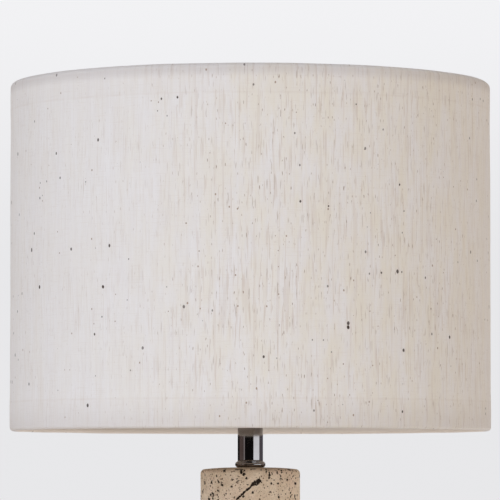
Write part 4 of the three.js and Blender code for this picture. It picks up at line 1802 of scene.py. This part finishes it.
@dataclass
class DrumShade:
    """The shade: a wire frame, a plastic liner and the linen stretched round them."""

    cloth: float = 0.0008
    gap: float = 0.0003
    liner: float = 0.0006
    wire_radius: float = 0.0015
    edge_round: float = 0.0034
    lower_round: float = 0.0019
    lean_height: float = 0.0065
    hem: float = 0.018
    overlap: float = 0.012
    lap_rise: float = 0.3
    lap_gap: float = 0.0001
    edge_zone: float = 0.006
    swell: float = 0.00022
    fine_swell: float = 0.00008
    hem_ridge: float = 0.00012
    ridge_fade: float = 0.0006
    notch: float = 0.0042
    notch_margin: float = 0.1
    wire_sides: int = 16
    fitter_bore: float = 0.021
    fitter_edge: float = 0.0005
    weld: float = 0.0004
    weld_swell: float = 0.25
    arm_spacing: float = 0.0015
    arm_bend: float = 0.0055
    arm_level: float = 0.0073
    arm_foot: float = 0.0144
    arm_angles: tuple[float, ...] = (90.0, 210.0, 330.0)
    columns: int = 360
    liner_rows: int = 12
    liner_share: float = 0.8
    liner_lap: float = 0.0096
    liner_rise: float = 0.25
    liner_inset: float = 0.00066
    cover: Span = Span.of("linen_cover")
    sheet: Span = Span.of("shade_liner")

    def build(self) -> None:
        """Builds every piece of the shade."""
        cover = place(self.cover_piece(), LINEN, Body.SHADE, "linen_cover")
        place(self.liner_piece(), LINER, Body.SHADE, "shade_liner")
        line = self.cloth_section()
        for node in ("bottom_wire_ring", "top_wire_ring"):
            place(self.wire_ring_piece(node), ENAMEL, Body.SHADE, node)
        place(self.fitter_piece(), ENAMEL, Body.SHADE, "fitter_ring")
        for index, angle in enumerate(self.arm_angles):
            node = f"fitter_arm_{index + 1}"
            place(self.arm_piece(node, angle), ENAMEL, Body.SHADE, node)

    def wire_ring_piece(self, node: str) -> bpy.types.Object:
        """Makes a wire ring.

        Args:
            node: the CAD node that it stands for.

        Returns:
            The ring.
        """
        s = Span.of(node)
        centre = (s.radius - self.wire_radius, s.middle)
        circle = arc(centre, self.wire_radius, -90, 270, self.wire_sides)[:-1]
        return turned(node + "_wire", circle, 180)

    def fitter_piece(self) -> bpy.types.Object:
        """Makes the flat ring that the lampholder's rings clamp, with softened edges.

        Returns:
            The ring.
        """
        s = Span.of("fitter_ring")
        corners = section(self.fitter_bore, s.radius, s.bottom, s.top)
        return turned("clamped_fitter", softened(corners, self.fitter_edge, 4), 96)

    def arm_piece(self, node: str, angle: float) -> bpy.types.Object:
        """Makes an arm: level at the fitter, slanting down, and level again at the lower wire.

        Args:
            node: the CAD node that it stands for.
            angle: its direction, in degrees.

        Returns:
            The arm.
        """
        fitter, lower = Span.of("fitter_ring"), Span.of("bottom_wire_ring")
        start = (fitter.radius - self.weld, fitter.middle)
        end = (lower.radius - 2 * self.wire_radius + self.weld, lower.middle)
        knee, heel = (fitter.radius + self.arm_level, start[1]), (end[0] - self.arm_foot, end[1])
        reach = (Vector(heel) - Vector(knee)).normalized() * self.arm_bend
        line = [start]
        line += bend((knee[0] - self.arm_bend, knee[1]), knee, tuple(Vector(knee) + reach), 10)
        line += bend(tuple(Vector(heel) - reach), heel, (heel[0] + self.arm_bend, heel[1]), 10)
        line.append(end)
        turn = math.radians(angle)
        out = Vector((math.cos(turn), math.sin(turn), 0))
        route = [out * x + Vector((0, 0, z)) for x, z in dense(line, self.arm_spacing)]
        return wire(node + "_wire", route, self.wire_radius, self.wire_sides, self.weld_swell)

    def hem_section(self, edge_round: float) -> Outline:
        """Draws the cloth's middle line at one edge, from the flap's end to the outer wall.

        The cloth comes down the liner's inner face, leans in to the wire, goes round its inner
        side and under it, and up the outside.

        Args:
            edge_round: the radius of the cloth's outer corner.

        Returns:
            The points, as (radius, height above the edge).
        """
        half = self.cloth / 2
        corner = edge_round - half
        inside_liner = self.cover.radius - self.cloth - self.liner - 2 * self.gap
        wire_circle = inside_liner - self.wire_radius
        wire_height = self.cloth + self.gap + self.wire_radius
        round_wire = self.wire_radius + self.gap + half
        flap = inside_liner - half
        leaves = Vector((flap, wire_height + self.lean_height))
        away = leaves - Vector((wire_circle, wire_height))
        touches = math.degrees(math.atan2(away.y, away.x) + math.acos(round_wire / away.length))
        round_it = arc((wire_circle, wire_height), round_wire, touches, 270, 12)
        line = between((flap, self.hem), (flap, leaves.y), 5)
        line += [tuple(leaves.lerp(Vector(round_it[0]), share)) for share in (0.33, 0.67)]
        line += round_it
        line += arc((self.cover.radius - edge_round, edge_round), corner, -90, 0, 6)
        return line

    def cloth_section(self) -> list[Spot]:
        """Draws the cloth's whole middle line.

        Returns:
            Its points, as (radius, height, way along the line). The way is counted from the
            outer wall's lower edge, so that it is the height there, and goes below zero and past
            the wall's height on the turned-in hems.
        """
        lower = self.hem_section(self.lower_round)
        height = self.cover.height
        start, end = (lower[-1][0], self.lower_round), (lower[-1][0], height - self.edge_round)
        upper = [(r, height - z) for r, z in reversed(self.hem_section(self.edge_round))]
        line = lower + between(start, end, 32)[1:-1] + upper
        way = np.concatenate([[0.0], np.cumsum([math.dist(a, b) for a, b in zip(line, line[1:])])])
        way += self.lower_round - way[len(lower) - 1]
        return [(r, z, w) for (r, z), w in zip(line, way)]

    def strip_angle(self, turn: float) -> float:
        """Returns where a point of the cloth is round the axis: its lap is centred at the rear."""
        return math.pi / 2 - self.overlap / self.cover.radius / 2 + turn

    def cover_piece(self) -> bpy.types.Object:
        """Makes the linen: one strip that laps over itself at the rear seam.

        Returns:
            The cloth.
        """
        line = self.cloth_section()
        lap_turn = self.overlap / self.cover.radius
        rise_turn = lap_turn * self.lap_rise
        count = self.columns + round(self.columns * lap_turn / TURN)

        def spot(column: int, row: int) -> tuple[Spot, Point]:
            """Gives one point of the strip.

            Args:
                column: its column, round the drum.
                row: its row, along the cloth's section.

            Returns:
                The point, and its place on the flat cloth.
            """
            turn = column * TURN / self.columns
            angle = self.strip_angle(turn)
            lap = min(1.0, max(0.0, (turn - TURN + rise_turn) / rise_turn))
            radius, height, way = line[row]
            before, after = line[max(row - 1, 0)], line[min(row + 1, len(line) - 1)]
            run = Vector((after[0] - before[0], after[1] - before[1])).normalized()
            out = Vector((run.y, -run.x)) * (lap * (self.cloth + self.lap_gap))
            lift = self.relief(angle, way)
            r = radius + out.x + lift.x
            z = self.cover.bottom + height + out.y + lift.y
            return (r * math.cos(angle), r * math.sin(angle), z), (turn * self.cover.radius, way)

        def slit(column: int, row: int) -> bool:
            """Tells whether a face is in the lower flap where an arm passes.

            Args:
                column: its column, round the drum.
                row: its row, along the cloth's section.

            Returns:
                True for a face that is cut away.
            """
            middle = math.degrees(self.strip_angle((column + 0.5) * TURN / self.columns))
            reach = math.degrees(self.notch / 2 / self.cover.radius) + self.notch_margin
            beside_arm = any(abs((middle - a + 180) % 360 - 180) < reach for a in self.arm_angles)
            return beside_arm and line[row + 1][2] < -2 * self.wire_radius

        return bent_sheet("linen_shade_cloth", (count, len(line) - 1), spot, self.cloth, slit)

    def relief(self, angle: float, way: float) -> Vector:
        """Gives the cloth's small departures from a true drum, at one point.

        Args:
            angle: round the axis, in radians.
            way: along the cloth's section, as cloth_section() counts it.

        Returns:
            What to add to the radius and to the height.
        """
        from_edge = min(way, self.cover.height - way)
        on_wall = min(max(from_edge / self.edge_zone, 0.0), 1.0)
        ridge = self.hem_ridge / (1 + math.exp((from_edge - self.hem) / self.ridge_fade))
        across = Vector((math.cos(angle), math.sin(angle), 0.0))
        spot = across + Vector((0.0, 0.0, way * 6))
        broad, fine = noise.noise(spot * 3.1), noise.noise(spot * 9.0)
        swell = broad * self.swell + fine * self.fine_swell
        at_top = way > self.cover.height / 2
        edge = noise.noise(across * 4 + Vector((0.0, 0.0, at_top))) * self.swell
        return Vector((on_wall * (swell + ridge), (1 - on_wall) * edge))

    def liner_piece(self) -> bpy.types.Object:
        """Makes the liner: a sheet bent into a drum, with its ends lapped at the rear.

        Returns:
            The liner.
        """
        s = self.sheet
        count = self.columns // 2
        lap_turn = self.liner_lap / s.radius

        def spot(column: int, row: int) -> tuple[Spot, Point]:
            """Gives one point of the liner.

            Args:
                column: its column, round the drum.
                row: its row, upwards.

            Returns:
                The point, and its place on the flat sheet.
            """
            turn = column * (TURN + lap_turn) / count
            angle = math.pi / 2 - lap_turn / 2 + turn
            lapped = min(1.0, max(0.0, (turn - TURN + lap_turn) / (lap_turn * self.liner_rise)))
            r = s.radius - self.liner / 2 - lapped * self.liner_inset
            z = s.bottom + s.height * row / self.liner_rows
            return (r * math.cos(angle), r * math.sin(angle), z), (turn * s.radius, z - s.bottom)

        return bent_sheet("liner_drum", (count, self.liner_rows), spot,
                          self.liner * self.liner_share)


def bent_sheet(name: str, grid: tuple[int, int], spot: Callable[[int, int], tuple[Spot, Point]],
               thickness: float,
               left_out: Callable[[int, int], bool] = lambda column, row: False,
               ) -> bpy.types.Object:
    """Makes a sheet over a grid, with its flat place as its UV map, and gives it its thickness.

    Args:
        name: the object's name.
        grid: how many columns and rows of faces it has.
        spot: gives a point of its middle surface and the place there on the flat sheet.
        thickness: the finished thickness, half of it on each side.
        left_out: tells whether the face at a column and row is left out.

    Returns:
        The sheet, closed.
    """
    columns, rows = grid
    spots = [spot(column, row) for column in range(columns + 1) for row in range(rows + 1)]
    starts = [column * (rows + 1) + row for column in range(columns) for row in range(rows)
              if not left_out(column, row)]
    faces = [(i, i + rows + 1, i + rows + 2, i + 1) for i in starts]
    piece = make_object(name, np.array([point for point, _ in spots]), faces, 60.0)
    layer = piece.data.uv_layers.new(name=CLOTH_UV)
    for loop in piece.data.loops:
        layer.data[loop.index].uv = spots[loop.vertex_index][1]
    wall = piece.modifiers.new("wall", "SOLIDIFY")
    wall.thickness, wall.offset, wall.use_even_offset = thickness, 0.0, True
    return applied(piece, sharp_angle=60.0)


# ---- Studio ----------------------------------------------------------------------------------


@dataclass(frozen=True)
class Glow:
    """A bright upright strip of the room, seen only in polished surfaces."""

    azimuth: float
    width: float
    light: Colour


@dataclass
class Studio:
    """A pale floor, soft light and a camera far in front of the lamp, a little below its shade."""

    distance: float = 2.873
    below_shade: float = 0.0378
    pitch: float = 3.04
    lens: float = 326.6
    aside: float = -0.0002
    floor_radius: float = 30.0
    key_azimuth: float = -32.0
    key_elevation: float = 34.0
    key_strength: float = 1.86
    key_softness: float = 50.0
    key_colour: Colour = (0.730, 0.838, 1.0)
    ambient: Colour = (0.66, 0.575, 0.50)
    floor_tones: tuple[Colour, Colour] = ((0.80, 0.80, 0.805), (0.82, 0.82, 0.825))
    bounce: Colour = (0.36, 0.325, 0.285)
    bounce_reach: float = 1.5
    wall_foot: Colour = (0.805, 0.805, 0.821)
    wall_top: Colour = (0.888, 0.888, 0.905)
    unlit: Colour = (0.012, 0.011, 0.012)
    horizon: float = 1.35
    overhead: float = 0.35
    side_lean: float = 0.36
    glows: tuple[Glow, ...] = (
        Glow(60.0, 60.0, (1.78, 1.84, 1.96)),
        Glow(112.0, 38.0, (0.20, 0.18, 0.21)),
        Glow(-92.0, 48.0, (0.21, 0.155, 0.145)),
        Glow(-58.0, 11.0, (0.56, 0.50, 0.51)),
        Glow(150.0, 34.0, (0.13, 0.12, 0.15)),
    )

    def build(self) -> None:
        """Builds the floor, the light and the camera."""
        self.make_floor()
        self.make_world()
        self.make_key()
        self.make_camera()
        bpy.context.scene.view_settings.view_transform = "Standard"

    def make_floor(self) -> None:
        """Lays a wide pale floor, which throws soft light up at the lamp, more from the right."""
        points = np.array([(x * self.floor_radius, y * self.floor_radius, 0.0)
                           for x, y in ((-1, -1), (1, -1), (1, 1), (-1, 1))])
        floor = make_object("studio_floor", points, [(0, 1, 2, 3)])
        material = bpy.data.materials.new("pale_floor")
        material.use_nodes = True
        g = Graph(material.node_tree)
        tone = g.noise(g.own_place(), 3.0)
        across = g.axes(g.own_place())[0]
        level = g.step(across, -self.bounce_reach, self.bounce_reach, 0.60, 1.40)
        g.fill(material.node_tree.nodes["Principled BSDF"].inputs, Roughness=0.9,
               Specular_IOR_Level=0.1,
               Base_Color=g.mix(tone, *self.floor_tones),
               Emission_Color=g.vector("SCALE", self.bounce, Scale=level),
               Emission_Strength=g.add("ShaderNodeLightPath").outputs["Is Diffuse Ray"])
        floor.data.materials.append(material)
        floor.visible_glossy = False

    def make_world(self) -> None:
        """Lights the room evenly, behind the lamp pale grey and in polished surfaces by strips."""
        world = bpy.data.worlds.new("studio")
        bpy.context.scene.world = world
        world.use_nodes = True
        g = Graph(world.node_tree)
        world.node_tree.nodes.clear()
        towards = g.add("ShaderNodeTexCoord").outputs["Generated"]
        parts = g.axes(towards)
        seen = g.mix(g.step(parts[2], 0.045, 0.112), self.wall_foot, self.wall_top)
        level = g.step(parts[2], 0.05, 0.85, self.horizon, self.overhead)
        aside = g.math("MULTIPLY", g.step(parts[2], 0.30, 0.12), parts[0])
        level = g.math("MULTIPLY", level, g.math("MULTIPLY_ADD", aside, self.side_lean, 1.0))
        even = g.vector("SCALE", self.ambient, Scale=level)
        front = g.math("MULTIPLY", parts[1], -1.0)
        azimuth = g.math("ARCTAN2", parts[0], front)
        strips: object = self.unlit
        for glow in self.glows:
            gap = g.math("ABSOLUTE", g.math("SUBTRACT", azimuth, math.radians(glow.azimuth)))
            edge = math.radians(glow.width / 2)
            strips = g.mix(g.step(gap, edge + 0.04, edge - 0.02), strips, glow.light)
        path = g.add("ShaderNodeLightPath").outputs
        lit = g.mix(path["Is Glossy Ray"], even, strips)
        shown = g.mix(path["Is Camera Ray"], lit, seen)
        back = g.add("ShaderNodeBackground", Color=shown, Strength=1.0).outputs[0]
        g.add("ShaderNodeOutputWorld", Surface=back)

    def make_key(self) -> None:
        """Adds the soft key light from the front left."""
        lamp = bpy.data.lights.new("key", "SUN")
        lamp.energy, lamp.angle = self.key_strength, math.radians(self.key_softness)
        lamp.color = self.key_colour
        key = in_scene("key", lamp)
        turn, rise = math.radians(self.key_azimuth), math.radians(self.key_elevation)
        source = Vector((math.sin(turn) * math.cos(rise), -math.cos(turn) * math.cos(rise),
                         math.sin(rise)))
        key.rotation_mode = "QUATERNION"
        key.rotation_quaternion = source.to_track_quat("Z", "Y")
        key.visible_glossy = False

    def make_camera(self) -> None:
        """Sets the camera in front of the lamp, a little below the shade and tilted up at it."""
        lens = bpy.data.cameras.new("camera")
        lens.lens, lens.sensor_width = self.lens, 36.0
        lens.clip_start, lens.clip_end = 0.05, 200.0
        camera = in_scene("camera", lens)
        height = Span.of("linen_cover").bottom - self.below_shade
        camera.location = (self.aside, -self.distance, height)
        camera.rotation_euler = (math.radians(90 + self.pitch), 0.0, 0.0)
        bpy.context.scene.camera = camera


# ---- Making ----------------------------------------------------------------------------------


def main() -> None:
    """Builds the studio and every sub-assembly."""
    logging.basicConfig(level=logging.INFO, format="%(message)s")
    Studio().build()
    studs, helix = studs_pattern(), helix_pattern()
    StoneStand().build(studs, helix)
    Neck().build()
    Lampholder().build(studs)
    Bulb().build(studs)
    DrumShade().build()


if __name__ == "__main__":
    main()
